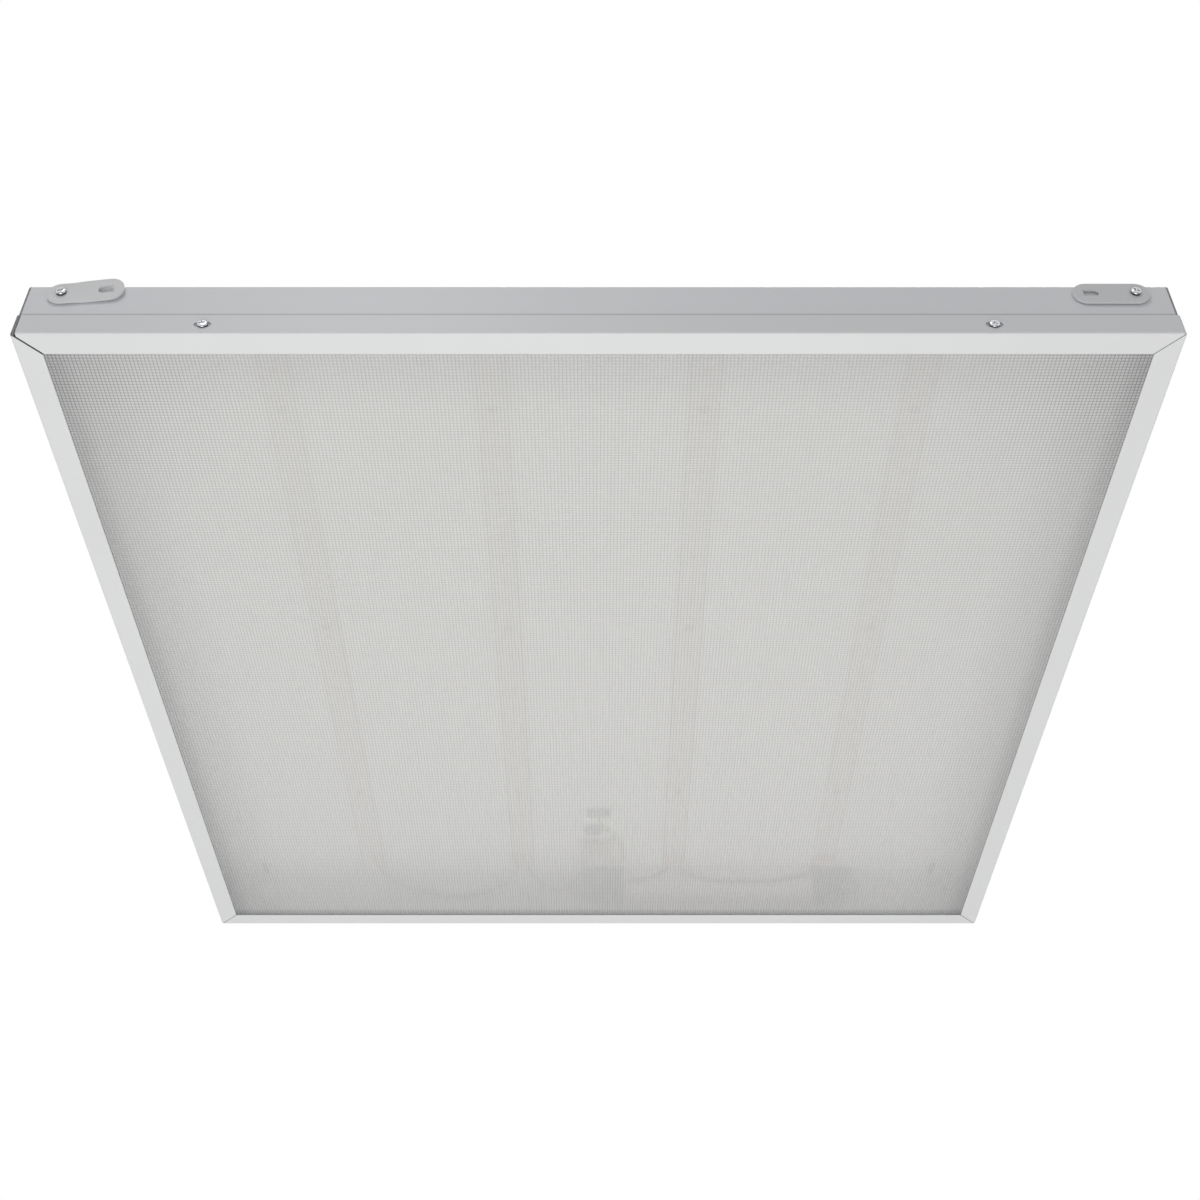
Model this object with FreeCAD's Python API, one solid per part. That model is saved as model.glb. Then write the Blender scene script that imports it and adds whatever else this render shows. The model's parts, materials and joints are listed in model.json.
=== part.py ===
import FreeCAD, Part
import math
import os

# A square recessed troffer light for a 600 mm ceiling grid: a folded sheet-steel tray, an
# L-section front frame screwed round it, a prismatic diffuser lying on the frame's flange,
# four LED boards and a driver inside, and four swivel ears on two of the walls.
# Millimetres. The origin is the middle of the visible front face, +Z goes up into the
# ceiling, -Y is the near wall, and X runs along it.

vector = FreeCAD.Vector

# ---- Driving dimensions -------------------------------------------------------------------

# Whole light
side_length = 595.0            # outer side of the square front frame
body_height = 39.0             # visible face to the back of the tray

# Front frame, one L-section strip folded at three corners
frame_sheet = 0.6
lip_height = 14.5              # outer leg, up the walls
flange_width = 13.5            # visible leg, round the diffuser
frame_bend_radius = 1.0        # outside, between the two legs
frame_corner_radius = 2.0      # outside, at the folded corners
mitre_hairline = 0.2           # closed mitres
mitre_gap = 0.65               # the one open mitre
lip_gap = 0.9                  # the joint where the strip's two ends meet
frame_slot_length = 9.0        # adjusting slots for the frame screws
frame_slot_width = 4.2

# Tray
tray_sheet = 0.5
tray_fit = 0.1                 # tray wall to the inside of the frame's lip
tray_bend_radius = 1.2         # outside, wall to back
tray_seam = 0.3                # open joint at each corner
tray_seam_stop = 2.0           # the joint stops this far below the back
corner_tab_width = 14.0        # spot-welded tab behind each corner joint
corner_tab_margin = 4.0        # tab to the rim and to the back
hanging_slot_length = 18.0     # slots in the back for ceiling hooks
hanging_slot_width = 5.0
hanging_slot_side_margin = 30.8  # slot's middle to the inside of the side wall
hanging_slot_end_margin = 18.3   # slot's middle to the inside of the near or far wall

# Diffuser
diffuser_sheet = 2.0
diffuser_margin = 0.8          # edge to the inside of the frame's lip
diffuser_play = 0.2            # diffuser to the tray's rim

# Frame screws, two a side
frame_screw_margin = 96.5      # from the frame's corner
frame_screw_z = 7.0
frame_screw_head_radius = 2.75
frame_screw_head_height = 1.3
frame_screw_radius = 1.4
frame_screw_length = 7.0
frame_screw_clearance = 0.05

# Swivel ears, two on the near wall and two on the far one
ear_length = 41.0
ear_width = 15.0
ear_sheet = 1.5
ear_pivot_margin = 19.9        # from the frame's corner
ear_pivot_drop = 8.0           # below the back
ear_slot_length = 8.0
ear_slot_width = 4.5
ear_slot_distance = 23.5       # pivot to the slot's middle
ear_bend_distance = 9.0        # pivot to the crease of a bent ear
ear_pivot_clearance = 0.05     # hole round the screw
ear_play = 0.05                # ear to washer, and ear to screw head
bent_ear_lift = 6.5            # the near left ear's tilt at rest, degrees
bent_ear_angle = 5.0           # and how far it is bent away from the wall, degrees
plain_ear_lift = 0.0

# Ear pivot screw, tapped into the wall, with its spacing washer
ear_screw_radius = 1.5
ear_screw_head_radius = 3.0
ear_screw_head_height = 1.9
ear_screw_length = 8.0
ear_washer_radius = 3.5
ear_washer_sheet = 0.5
ear_screw_clearance = 0.05     # in the wall and in the washer

# LED boards
board_pitch = 118.3
board_count = 4
board_width = 17.5
board_thickness = 1.0
board_driver_gap = 3.0         # boards' far ends to the driver; the near ends mirror them
board_fixing_near_margin = 60.5
board_fixing_far_margin = 104.5
board_fixing_count = 3

# LED packages
chip_length = 3.5              # across the board
chip_width = 2.8
chip_height = 0.8
chips_per_fixing = 10          # packages from one rivet to the next
chip_margin = 24.0             # bare board at each end

# Blind rivets that hold the boards
rivet_head_radius = 3.0
rivet_head_height = 1.0
rivet_shank_radius = 1.55
rivet_tail_height = 1.4
rivet_hole_radius = 1.6

# Wire connectors at the boards' far ends
connector_width = 6.6
connector_length = 12.0
connector_height = 4.0
connector_offset = 3.6         # board's middle line to connector's middle
connector_inset = 6.0          # connector to the end of its board

# Driver
driver_left = -5.0             # end of the left cap
driver_length = 199.0
driver_depth = 20.0
driver_height = 22.0
driver_bend_gap = 0.1          # driver to the bend between the far wall and the back
driver_wall = 1.2
driver_lid = 1.4
driver_lid_rim = 2.0           # locating rim inside the case
driver_lid_fit = 0.15
driver_cap_length = 25.0
driver_tab_length = 8.0
driver_tab_thickness = 2.0
driver_board_thickness = 1.6
driver_board_ledge = 1.5
driver_board_standoff = 3.0    # board to the case's floor
driver_screw_radius = 1.5
driver_screw_head_radius = 3.0
driver_screw_head_height = 1.6
driver_screw_length = 4.0
driver_screw_clearance = 0.05
output_socket_inset = 5.0      # output lead to the driver's far side
output_socket_height = 7.0     # and above its face
live_socket_inset = 4.0
neutral_socket_inset = 9.0
input_socket_height = 4.0

# What stands on the driver's board. Blocks: distance from an end of the case, length, width
# and height. Round ones: distance, radius and height.
fuse = (14.0, 9.0, 8.0, 8.0)
choke = (30.0, 13.0, 12.0, 10.0)
input_capacitor = (54.0, 5.5, 11.0)
transformer = (58.0, 20.0, 14.0, 11.0)
output_capacitor = (37.0, 4.0, 10.0)
output_coil = (21.0, 12.0, 11.0, 9.0)

# Supply terminal block, beside the cable entry
terminal_x = -2.0
terminal_driver_gap = 25.5     # block's far end to the driver
terminal_pole_pitch = 8.0
terminal_pole_count = 3
terminal_length = 18.0
terminal_height = 14.0
terminal_foot_height = 7.0
terminal_tower_length = 11.0
terminal_tower_width = 6.4
terminal_screw_radius = 1.6
terminal_screw_depth = 4.0
terminal_screw_height = 2.0
terminal_screw_clearance = 0.1
terminal_wire_height = 4.0     # wires below the block's seat
terminal_mouth_radius = 2.2    # sockets for the incoming cable
terminal_mouth_depth = 6.0

# Cable entry grommet
entry_x = -4.0
entry_terminal_gap = 3.5       # grommet to the terminal block
entry_bore_radius = 3.5
entry_neck_radius = 5.2
entry_flange_radius = 7.5
entry_flange_height = 1.2
entry_hole_clearance = 0.05

# Earth clamp
earth_x = 0.0
earth_entry_gap = 13.0         # clamp to the grommet
earth_plate_length = 18.0
earth_plate_width = 9.0
earth_plate_thickness = 2.4
earth_screw_pitch = 10.0
earth_screw_head_radius = 2.9
earth_screw_head_height = 1.8

# Wires
link_lead_diameter = 2.4
supply_lead_diameter = 2.0
exit_height = 2.4              # link leads below the boards, where they leave a connector
free_run = 8.5                 # straight out of a connector with open space before it
tight_run = 4.0                # straight out of a connector that faces the driver
terminal_run = 6.5             # straight out of the terminal block
earth_run = 11.0               # straight into the earth clamp
output_turn = 9.0              # the output lead's bow past the driver's end: its two turns
output_bow = 13.6              # and its outermost point
live_turn = 12.0               # where the supply leads turn in, before the driver's end
neutral_turn = 9.5
bend_share = 0.45              # of the shorter run beside it that each bend takes up

# Flats instead of round faces, on what is small and repeats
lead_sides = 6
small_sides = 10
grommet_sides = 20
ear_sides = 24

# Making
through = 5.0                  # spare length of a cutting tool past what it cuts
mitre_overrun = 1.0            # a mitre's cut starts this far inside the flange's edge
level_tolerance = 1e-4

# ---- Sizes that follow --------------------------------------------------------------------

half_side = side_length / 2
lip_inside = half_side - frame_sheet
tray_half = lip_inside - tray_fit
tray_inside = tray_half - tray_sheet
tray_corner_radius = frame_corner_radius - frame_sheet - tray_fit
tray_rim_z = frame_sheet + diffuser_sheet + diffuser_play
back_inside_z = body_height - tray_sheet
board_face_z = back_inside_z - board_thickness
hanging_slot_x = tray_inside - hanging_slot_side_margin
hanging_slot_y = tray_inside - hanging_slot_end_margin
frame_screw_x = half_side - frame_screw_margin

ear_pivot_x = half_side - ear_pivot_margin
ear_pivot_z = body_height - ear_pivot_drop
ear_seat = tray_half + ear_washer_sheet + ear_play
ear_head_seat = ear_seat + ear_sheet + ear_play
ear_arm = ear_length - ear_width
bent_ear = (bent_ear_lift, bent_ear_angle)
plain_ear = (plain_ear_lift, 0.0)

driver_right = driver_left + driver_length
driver_far_y = tray_inside - (tray_bend_radius - tray_sheet) - driver_bend_gap
driver_near_y = driver_far_y - driver_depth
driver_face_z = back_inside_z - driver_height
driver_case_left = driver_left + driver_cap_length
driver_case_right = driver_right - driver_cap_length
driver_board_z = back_inside_z - driver_wall - driver_board_standoff

board_end_y = driver_near_y - board_driver_gap
board_fixing_first = -board_end_y + board_fixing_near_margin
board_fixing_last = board_end_y - board_fixing_far_margin
board_fixing_pitch = (board_fixing_last - board_fixing_first) / (board_fixing_count - 1)
chip_pitch = board_fixing_pitch / chips_per_fixing
connector_face_y = board_end_y - connector_inset
link_lead_z = board_face_z - exit_height

terminal_wire_z = back_inside_z - terminal_wire_height
terminal_far_y = driver_near_y - terminal_driver_gap
terminal_near_y = terminal_far_y - terminal_length
terminal_y = (terminal_near_y + terminal_far_y) / 2
entry_y = terminal_near_y - entry_terminal_gap - entry_flange_radius
earth_far_y = entry_y - entry_flange_radius - earth_entry_gap
earth_y = earth_far_y - earth_plate_width / 2
earth_wire_z = back_inside_z - earth_plate_thickness / 2

near_side = 0
right_side = 1
far_side = 2
left_side = 3


# ---- Building blocks ----------------------------------------------------------------------

def box(low, high):
    size = [high[i] - low[i] for i in range(3)]
    return Part.makeBox(size[0], size[1], size[2], vector(*low))


def rod(radius, length, base, direction):
    return Part.makeCylinder(radius, length, vector(*base), vector(*direction))


def rounded_square(half, radius, low, high):
    """An upright square block with round vertical corners."""
    flat = half - radius
    slanted = flat + radius * math.sqrt(0.5)
    edges = []
    for quarter in range(4):
        turn = FreeCAD.Rotation(vector(0, 0, 1), 90 * quarter)
        start = turn.multVec(vector(-flat, -half, low))
        end = turn.multVec(vector(flat, -half, low))
        middle = turn.multVec(vector(slanted, -slanted, low))
        after = turn.multVec(vector(half, -flat, low))
        edges.append(Part.LineSegment(start, end).toShape())
        edges.append(Part.Arc(end, middle, after).toShape())
    face = Part.Face(Part.Wire(edges))
    return face.extrude(vector(0, 0, high - low))


def rim_edges(shape, level):
    """The edges that lie wholly at one height."""
    return [edge for edge in shape.Edges
            if abs(edge.BoundBox.ZMin - level) < level_tolerance
            and abs(edge.BoundBox.ZMax - level) < level_tolerance]


def turned(shape, quarter):
    """A copy on the next wall round, counted from the near wall."""
    copy = shape.copy()
    copy.rotate(vector(0, 0, 0), vector(0, 0, 1), 90 * quarter)
    return copy


def on_near_wall(shape, x, z, distance):
    """Stands a flat piece on the near wall: its X goes right, its Y up and its Z outwards."""
    copy = shape.copy()
    copy.rotate(vector(0, 0, 0), vector(1, 0, 0), 90)
    copy.translate(vector(x, -distance, z))
    return copy


def facing_down(shape, x, y, z):
    """Turns a piece over, so that its Z points at the floor, and puts it at a point."""
    copy = shape.copy()
    copy.rotate(vector(0, 0, 0), vector(1, 0, 0), 180)
    copy.translate(vector(x, y, z))
    return copy


def diagonal_slit(width, inner, outer, low, high, corner):
    """A thin upright block on the diagonal of one corner, counted from near left."""
    slit = box((inner * math.sqrt(2), -width / 2, low), (outer * math.sqrt(2), width / 2, high))
    slit.rotate(vector(0, 0, 0), vector(0, 0, 1), 225 + 90 * corner)
    return slit


def ring(radius, height, sides):
    """The corners of a ring of flats about Z. One corner lies on X."""
    step = 2 * math.pi / sides
    return [vector(radius * math.cos(step * index), radius * math.sin(step * index), height)
            for index in range(sides)]


def closed(corners):
    return Part.makePolygon(corners + corners[:1])


def ring_stack(profile, sides, hollow=False):
    """A solid about Z with flats all round, through rings at radius and height pairs. A
    hollow one closes from its last ring back to its first."""
    rings = [ring(radius, height, sides) for radius, height in profile]
    faces = [] if hollow else [Part.Face(closed(rings[0])), Part.Face(closed(rings[-1]))]
    pairs = zip(rings, rings[1:] + rings[:1]) if hollow else zip(rings, rings[1:])
    for lower, upper in pairs:
        for index in range(sides):
            after = (index + 1) % sides
            faces.append(Part.Face(closed([lower[index], lower[after],
                                           upper[after], upper[index]])))
    return Part.Solid(Part.Shell(faces))


def small_rod(radius, length, base=(0, 0, 0), sides=small_sides):
    """A rod with flats, standing along Z on its base point."""
    shape = ring_stack([(radius, 0), (radius, length)], sides)
    shape.translate(vector(*base))
    return shape


def obround(length, width, height, base, sides=small_sides):
    """A bar along X whose round ends have flats, standing along Z on its base point."""
    radius = width / 2
    arm = length / 2 - radius
    step = 2 * math.pi / sides
    corners = []
    for end, first in ((arm, -math.pi / 2), (-arm, math.pi / 2)):
        for index in range(sides // 2 + 1):
            angle = first + step * index
            corners.append(vector(end + radius * math.cos(angle), radius * math.sin(angle), 0))
    bar = Part.Face(closed(corners)).extrude(vector(0, 0, height))
    bar.translate(vector(*base))
    return bar


def pan_screw(head_radius, head_height, shank_radius, length):
    """A pan-head screw whose head stands up from its seat at the origin."""
    return ring_stack([
        (shank_radius, -length),
        (shank_radius, 0),
        (head_radius, 0),
        (head_radius, head_height / 2),
        (head_radius - head_height / 2, head_height),
    ], small_sides)


def lead(points, diameter, name):
    """A wire on straight runs joined by arcs that touch them, each as large as they allow."""
    knots = [vector(*point) for point in points]
    edges = []
    radii = []
    start = knots[0]
    for before, corner, after in zip(knots, knots[1:], knots[2:]):
        way_in = (corner - before).normalize()
        way_out = (after - corner).normalize()
        half_turn = way_in.getAngle(way_out) / 2
        setback = bend_share * min((corner - before).Length, (after - corner).Length)
        radius = setback / math.tan(half_turn)
        radii.append(radius)
        arc_start = corner - way_in * setback
        arc_end = corner + way_out * setback
        inwards = (way_out - way_in).normalize()
        arc_middle = corner + inwards * (radius / math.cos(half_turn) - radius)
        edges.append(Part.LineSegment(start, arc_start).toShape())
        edges.append(Part.Arc(arc_start, arc_middle, arc_end).toShape())
        start = arc_end
    edges.append(Part.LineSegment(start, knots[-1]).toShape())
    path = Part.Wire(edges)
    section = closed(ring(diameter / 2, 0, lead_sides))
    section.Placement = FreeCAD.Placement(
        knots[0], FreeCAD.Rotation(vector(0, 0, 1), knots[1] - knots[0]))
    tube = Part.Solid(path.makePipeShell([section], True, False).Shells[0])
    expected = Part.Face(section).Area * path.Length
    print(name, "length", round(path.Length, 1), "least radius", round(min(radii), 1),
          "radii", [round(radius, 1) for radius in radii],
          "volume share", round(tube.Volume / expected, 4))
    return tube


# ---- Sheet metal --------------------------------------------------------------------------

def folded_shell(half, corner_radius, bend_radius, inner_bend, sheet, closed_level, open_level):
    """A square tray of thin sheet: closed at one level, open at the other. Its bends are
    sharp inside where their inner radius is none."""
    low, high = min(closed_level, open_level), max(closed_level, open_level)
    outer = rounded_square(half, corner_radius, low, high)
    outer = outer.makeFillet(bend_radius, rim_edges(outer, closed_level))
    inwards = 1 if open_level > closed_level else -1
    floor = closed_level + inwards * sheet
    past = open_level + inwards * through
    inner_low, inner_high = min(floor, past), max(floor, past)
    inner = rounded_square(half - sheet, corner_radius - sheet, inner_low, inner_high)
    if inner_bend:
        inner = inner.makeFillet(inner_bend, rim_edges(inner, floor))
    return outer.cut(inner)


def frame_slots():
    """Two screw slots through the lip of each side."""
    slot = obround(frame_slot_length, frame_slot_width, frame_sheet + 2 * through,
                   (0, 0, -frame_sheet - through))
    return [turned(on_near_wall(slot, x, frame_screw_z, half_side), quarter)
            for quarter in range(4) for x in (-frame_screw_x, frame_screw_x)]


def front_frame():
    """The strip's flange and lip, its mitres, its one open corner and its screw slots."""
    frame = folded_shell(half_side, frame_corner_radius, frame_bend_radius, 0, frame_sheet,
                         0, lip_height)
    opening = half_side - flange_width
    cuts = [box((-opening, -opening, -through), (opening, opening, through))]
    flange_end = half_side - frame_corner_radius
    above_flange = frame_sheet + frame_bend_radius
    open_corner, *folded_corners = range(4)
    for corner in folded_corners:
        cuts.append(diagonal_slit(mitre_hairline, opening - mitre_overrun, flange_end,
                                  -through, above_flange, corner))
    cuts.append(diagonal_slit(mitre_gap, opening - mitre_overrun, flange_end,
                              -through, above_flange, open_corner))
    joint_left = -flange_end
    cuts.append(box((joint_left, -half_side - through, -through),
                    (joint_left + lip_gap, -flange_end + frame_sheet, lip_height + through)))
    return frame.cut(cuts + frame_slots())


def corner_tab(corner):
    """A tab of one wall that lies behind the next wall, across the corner joint."""
    near = -tray_inside
    low = tray_rim_z + corner_tab_margin
    high = back_inside_z - corner_tab_margin
    tab = box((near, near, low), (near + corner_tab_width, near + tray_sheet, high))
    return turned(tab, corner)


def tray_holes():
    """Every hole in the tray for what is screwed, riveted or threaded through it."""
    holes = []
    wall_low = -tray_sheet - through
    wall_depth = tray_sheet + 2 * through
    screw_hole = small_rod(frame_screw_radius + frame_screw_clearance, wall_depth,
                           (0, 0, wall_low))
    for quarter in range(4):
        for x in (-frame_screw_x, frame_screw_x):
            holes.append(turned(on_near_wall(screw_hole, x, frame_screw_z, tray_half), quarter))
    pivot_hole = small_rod(ear_screw_radius + ear_screw_clearance, wall_depth,
                           (0, 0, wall_low))
    for quarter in (near_side, far_side):
        for x in (-ear_pivot_x, ear_pivot_x):
            holes.append(turned(on_near_wall(pivot_hole, x, ear_pivot_z, tray_half), quarter))
    back_low = back_inside_z - through
    for x, y in board_fixings():
        holes.append(small_rod(rivet_hole_radius, wall_depth, (x, y, back_low)))
    for x, y in driver_fixings():
        holes.append(small_rod(driver_screw_radius + driver_screw_clearance, wall_depth,
                               (x, y, back_low)))
    holes.append(small_rod(entry_neck_radius + entry_hole_clearance, wall_depth,
                           (entry_x, entry_y, back_low), grommet_sides))
    slot = obround(hanging_slot_length, hanging_slot_width, wall_depth, (0, 0, back_low))
    slot.rotate(vector(0, 0, 0), vector(0, 0, 1), 90)
    for x in (-hanging_slot_x, hanging_slot_x):
        for y in (-hanging_slot_y, hanging_slot_y):
            hole = slot.copy()
            hole.translate(vector(x, y, 0))
            holes.append(hole)
    return holes


def housing_tray():
    """Back and four walls from one sheet, with tabbed open joints at the corners."""
    tray = folded_shell(tray_half, tray_corner_radius, tray_bend_radius,
                        tray_bend_radius - tray_sheet, tray_sheet, body_height, tray_rim_z)
    seam_end = tray_half + through
    seam_start = tray_inside - tray_corner_radius
    seams = [diagonal_slit(tray_seam, seam_start, seam_end, tray_rim_z - through,
                           body_height - tray_seam_stop, corner) for corner in range(4)]
    tray = tray.cut(seams)
    for corner in range(4):
        tray = tray.fuse(corner_tab(corner))
    return tray.removeSplitter().cut(tray_holes())


# ---- Diffuser and LED boards --------------------------------------------------------------

def diffuser():
    half = lip_inside - diffuser_margin
    return box((-half, -half, frame_sheet), (half, half, frame_sheet + diffuser_sheet))


def board_middles():
    """The X of each board's middle line, from left to right."""
    first = -board_pitch * (board_count - 1) / 2
    return [first + board_pitch * index for index in range(board_count)]


def fixing_places():
    """The Y of each rivet along a board."""
    return [board_fixing_first + board_fixing_pitch * index
            for index in range(board_fixing_count)]


def board_fixings():
    return [(x, y) for x in board_middles() for y in fixing_places()]


def led_board(middle):
    half = board_width / 2
    board = box((middle - half, -board_end_y, board_face_z),
                (middle + half, board_end_y, back_inside_z))
    holes = [small_rod(rivet_hole_radius, board_thickness + 2 * through,
                       (middle, y, board_face_z - through)) for y in fixing_places()]
    return board.cut(holes)


def led_chips(middle):
    """One row of packages, set so that every rivet falls midway between two of them."""
    low_end = -board_end_y + chip_margin
    high_end = board_end_y - chip_margin
    first = board_fixing_first + chip_pitch / 2
    lowest = math.ceil((low_end - first) / chip_pitch)
    highest = math.floor((high_end - first) / chip_pitch)
    chips = []
    for index in range(lowest, highest + 1):
        y = first + index * chip_pitch
        chips.append(box((middle - chip_length / 2, y - chip_width / 2,
                          board_face_z - chip_height),
                         (middle + chip_length / 2, y + chip_width / 2, board_face_z)))
    return Part.Compound(chips)


def board_rivets():
    """Blind rivets: a flat head under the board, and a shank that ends behind the back."""
    tail = board_thickness + tray_sheet + rivet_tail_height
    rivet = ring_stack([
        (rivet_shank_radius, -tail),
        (rivet_shank_radius, 0),
        (rivet_head_radius, 0),
        (rivet_head_radius, rivet_head_height),
    ], small_sides)
    return Part.Compound([facing_down(rivet, x, y, board_face_z) for x, y in board_fixings()])


def connector(x):
    """A wire-to-board connector, whose far face takes the lead."""
    return box((x - connector_width / 2, connector_face_y - connector_length,
                board_face_z - connector_height),
               (x + connector_width / 2, connector_face_y, board_face_z))


def connector_places(index):
    """The X of each connector on one board: the first board ends the chain."""
    middle = board_middles()[index]
    right = middle + connector_offset
    return [right] if index == 0 else [middle - connector_offset, right]


# ---- Driver -------------------------------------------------------------------------------

def driver_case():
    """The open tub on the tray's back, with a ledge along each long wall for the board."""
    low = (driver_case_left, driver_near_y, driver_face_z + driver_lid)
    high = (driver_case_right, driver_far_y, back_inside_z)
    inner_low = (driver_case_left + driver_wall, driver_near_y + driver_wall,
                 driver_face_z - through)
    inner_high = (driver_case_right - driver_wall, driver_far_y - driver_wall,
                  back_inside_z - driver_wall)
    case = box(low, high).cut(box(inner_low, inner_high))
    for near in (inner_low[1], inner_high[1] - driver_board_ledge):
        case = case.fuse(box((inner_low[0], near, driver_board_z),
                             (inner_high[0], near + driver_board_ledge, inner_high[2])))
    return case.removeSplitter()


def driver_cover():
    """The lid under the tub, with a rim that locates it inside the walls."""
    plate = box((driver_case_left, driver_near_y, driver_face_z),
                (driver_case_right, driver_far_y, driver_face_z + driver_lid))
    margin = driver_wall + driver_lid_fit
    rim_low = (driver_case_left + margin, driver_near_y + margin, driver_face_z + driver_lid)
    rim_high = (driver_case_right - margin, driver_far_y - margin,
                driver_face_z + driver_lid + driver_lid_rim)
    rim = box(rim_low, rim_high)
    hollow = box((rim_low[0] + driver_wall, rim_low[1] + driver_wall, rim_low[2] - through),
                 (rim_high[0] - driver_wall, rim_high[1] - driver_wall, rim_high[2] + through))
    return plate.fuse(rim.cut(hollow)).removeSplitter()


def driver_board():
    """The circuit board, resting on the case's ledges."""
    margin = driver_wall + driver_lid_fit
    return box((driver_case_left + margin, driver_near_y + margin,
                driver_board_z - driver_board_thickness),
               (driver_case_right - margin, driver_far_y - margin, driver_board_z))


def driver_components():
    """Fuse, choke, capacitors, transformer and coil that stand on the driver's board."""
    seat = driver_board_z - driver_board_thickness
    middle = (driver_near_y + driver_far_y) / 2
    pieces = []
    for end, inwards, block in ((driver_case_left, 1, fuse), (driver_case_left, 1, choke),
                                (driver_case_right, -1, transformer),
                                (driver_case_right, -1, output_coil)):
        distance, length, width, height = block
        x = end + inwards * distance
        pieces.append(box((x - length / 2, middle - width / 2, seat - height),
                          (x + length / 2, middle + width / 2, seat)))
    for end, inwards, can in ((driver_case_left, 1, input_capacitor),
                              (driver_case_right, -1, output_capacitor)):
        distance, radius, height = can
        pieces.append(small_rod(radius, height, (end + inwards * distance, middle,
                                                 seat - height)))
    return Part.Compound(pieces)


def driver_cap(outer_end, inner_end):
    """An end cap, open towards the case, with a screw tab on the tray's back."""
    outwards = 1 if outer_end > inner_end else -1
    low_x, high_x = min(outer_end, inner_end), max(outer_end, inner_end)
    cap = box((low_x, driver_near_y, driver_face_z), (high_x, driver_far_y, back_inside_z))
    hollow_outer = outer_end - outwards * driver_wall
    hollow_inner = inner_end - outwards * through
    cap = cap.cut(box((min(hollow_outer, hollow_inner), driver_near_y + driver_wall,
                       driver_face_z + driver_wall),
                      (max(hollow_outer, hollow_inner), driver_far_y - driver_wall,
                       back_inside_z - driver_wall)))
    tab_x = outer_end + outwards * driver_tab_length
    tab = box((min(outer_end, tab_x), driver_near_y + driver_wall,
               back_inside_z - driver_tab_thickness),
              (max(outer_end, tab_x), driver_far_y - driver_wall, back_inside_z))
    cap = cap.fuse(tab).removeSplitter()
    return cap.cut(small_rod(driver_screw_radius + driver_screw_clearance, 4 * through,
                             (tab_screw_x(outer_end, outwards), driver_screw_y(),
                              back_inside_z - 2 * through)))


def tab_screw_x(outer_end, outwards):
    return outer_end + outwards * driver_tab_length / 2


def driver_screw_y():
    return (driver_near_y + driver_far_y) / 2


def driver_fixings():
    return [(tab_screw_x(driver_left, -1), driver_screw_y()),
            (tab_screw_x(driver_right, 1), driver_screw_y())]


def driver_screws():
    screw = pan_screw(driver_screw_head_radius, driver_screw_head_height,
                      driver_screw_radius, driver_screw_length)
    seat = back_inside_z - driver_tab_thickness
    return Part.Compound([facing_down(screw, x, y, seat) for x, y in driver_fixings()])


# ---- Supply terminals, cable entry and earth ----------------------------------------------

def pole_places():
    """The X of each pole of the terminal block, from left to right."""
    first = terminal_x - terminal_pole_pitch * (terminal_pole_count - 1) / 2
    return [first + terminal_pole_pitch * index for index in range(terminal_pole_count)]


def terminal_block():
    """A moulded block: a foot with a tower over each pole and a socket for each core."""
    half = terminal_pole_pitch * terminal_pole_count / 2
    foot_z = back_inside_z - terminal_foot_height
    top_z = back_inside_z - terminal_height
    block = box((terminal_x - half, terminal_near_y, foot_z),
                (terminal_x + half, terminal_far_y, back_inside_z))
    cuts = []
    for x in pole_places():
        block = block.fuse(box((x - terminal_tower_width / 2,
                                terminal_y - terminal_tower_length / 2, top_z),
                               (x + terminal_tower_width / 2,
                                terminal_y + terminal_tower_length / 2, foot_z)))
        cuts.append(small_rod(terminal_screw_radius, terminal_screw_depth + through,
                              (x, terminal_y, top_z - through)))
        mouth = small_rod(terminal_mouth_radius, terminal_mouth_depth + through)
        mouth.rotate(vector(0, 0, 0), vector(1, 0, 0), -90)
        mouth.translate(vector(x, terminal_near_y - through, terminal_wire_z))
        cuts.append(mouth)
    return block.removeSplitter().cut(cuts)


def terminal_screws():
    """One clamping screw at the bottom of each tower's well."""
    well_bottom_z = back_inside_z - terminal_height + terminal_screw_depth
    return Part.Compound([small_rod(terminal_screw_radius - terminal_screw_clearance,
                                    terminal_screw_height,
                                    (x, terminal_y, well_bottom_z - terminal_screw_height))
                          for x in pole_places()])


def cable_grommet():
    """A soft grommet gripping the edge of the cable entry hole, with a round bore."""
    low = -entry_flange_height
    high = tray_sheet + entry_flange_height
    chamfer = entry_flange_height / 2
    grommet = ring_stack([
        (entry_flange_radius - chamfer, low),
        (entry_flange_radius, low + chamfer),
        (entry_flange_radius, 0),
        (entry_neck_radius, 0),
        (entry_neck_radius, tray_sheet),
        (entry_flange_radius, tray_sheet),
        (entry_flange_radius, high - chamfer),
        (entry_flange_radius - chamfer, high),
    ], grommet_sides)
    grommet = grommet.cut(rod(entry_bore_radius, high - low + 2 * through,
                              (0, 0, low - through), (0, 0, 1)))
    grommet.translate(vector(entry_x, entry_y, back_inside_z))
    return grommet


def earth_screw_places():
    return [earth_x - earth_screw_pitch / 2, earth_x + earth_screw_pitch / 2]


def earth_clamp():
    """A small clamp block on the back, which takes the earth wire in its far face."""
    half = earth_plate_length / 2
    return box((earth_x - half, earth_y - earth_plate_width / 2,
                back_inside_z - earth_plate_thickness),
               (earth_x + half, earth_far_y, back_inside_z))


def earth_screws():
    head = ring_stack([
        (earth_screw_head_radius, 0),
        (earth_screw_head_radius, earth_screw_head_height / 2),
        (earth_screw_head_radius - earth_screw_head_height / 2, earth_screw_head_height),
    ], small_sides)
    seat = back_inside_z - earth_plate_thickness
    return Part.Compound([facing_down(head, x, earth_y, seat) for x in earth_screw_places()])


# ---- Wires --------------------------------------------------------------------------------

def bends(*places):
    """Hand-chosen points of a route: X, how far past the driver's near side, and how far below
    the back."""
    return [(x, driver_near_y + past, back_inside_z - below) for x, past, below in places]


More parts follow.
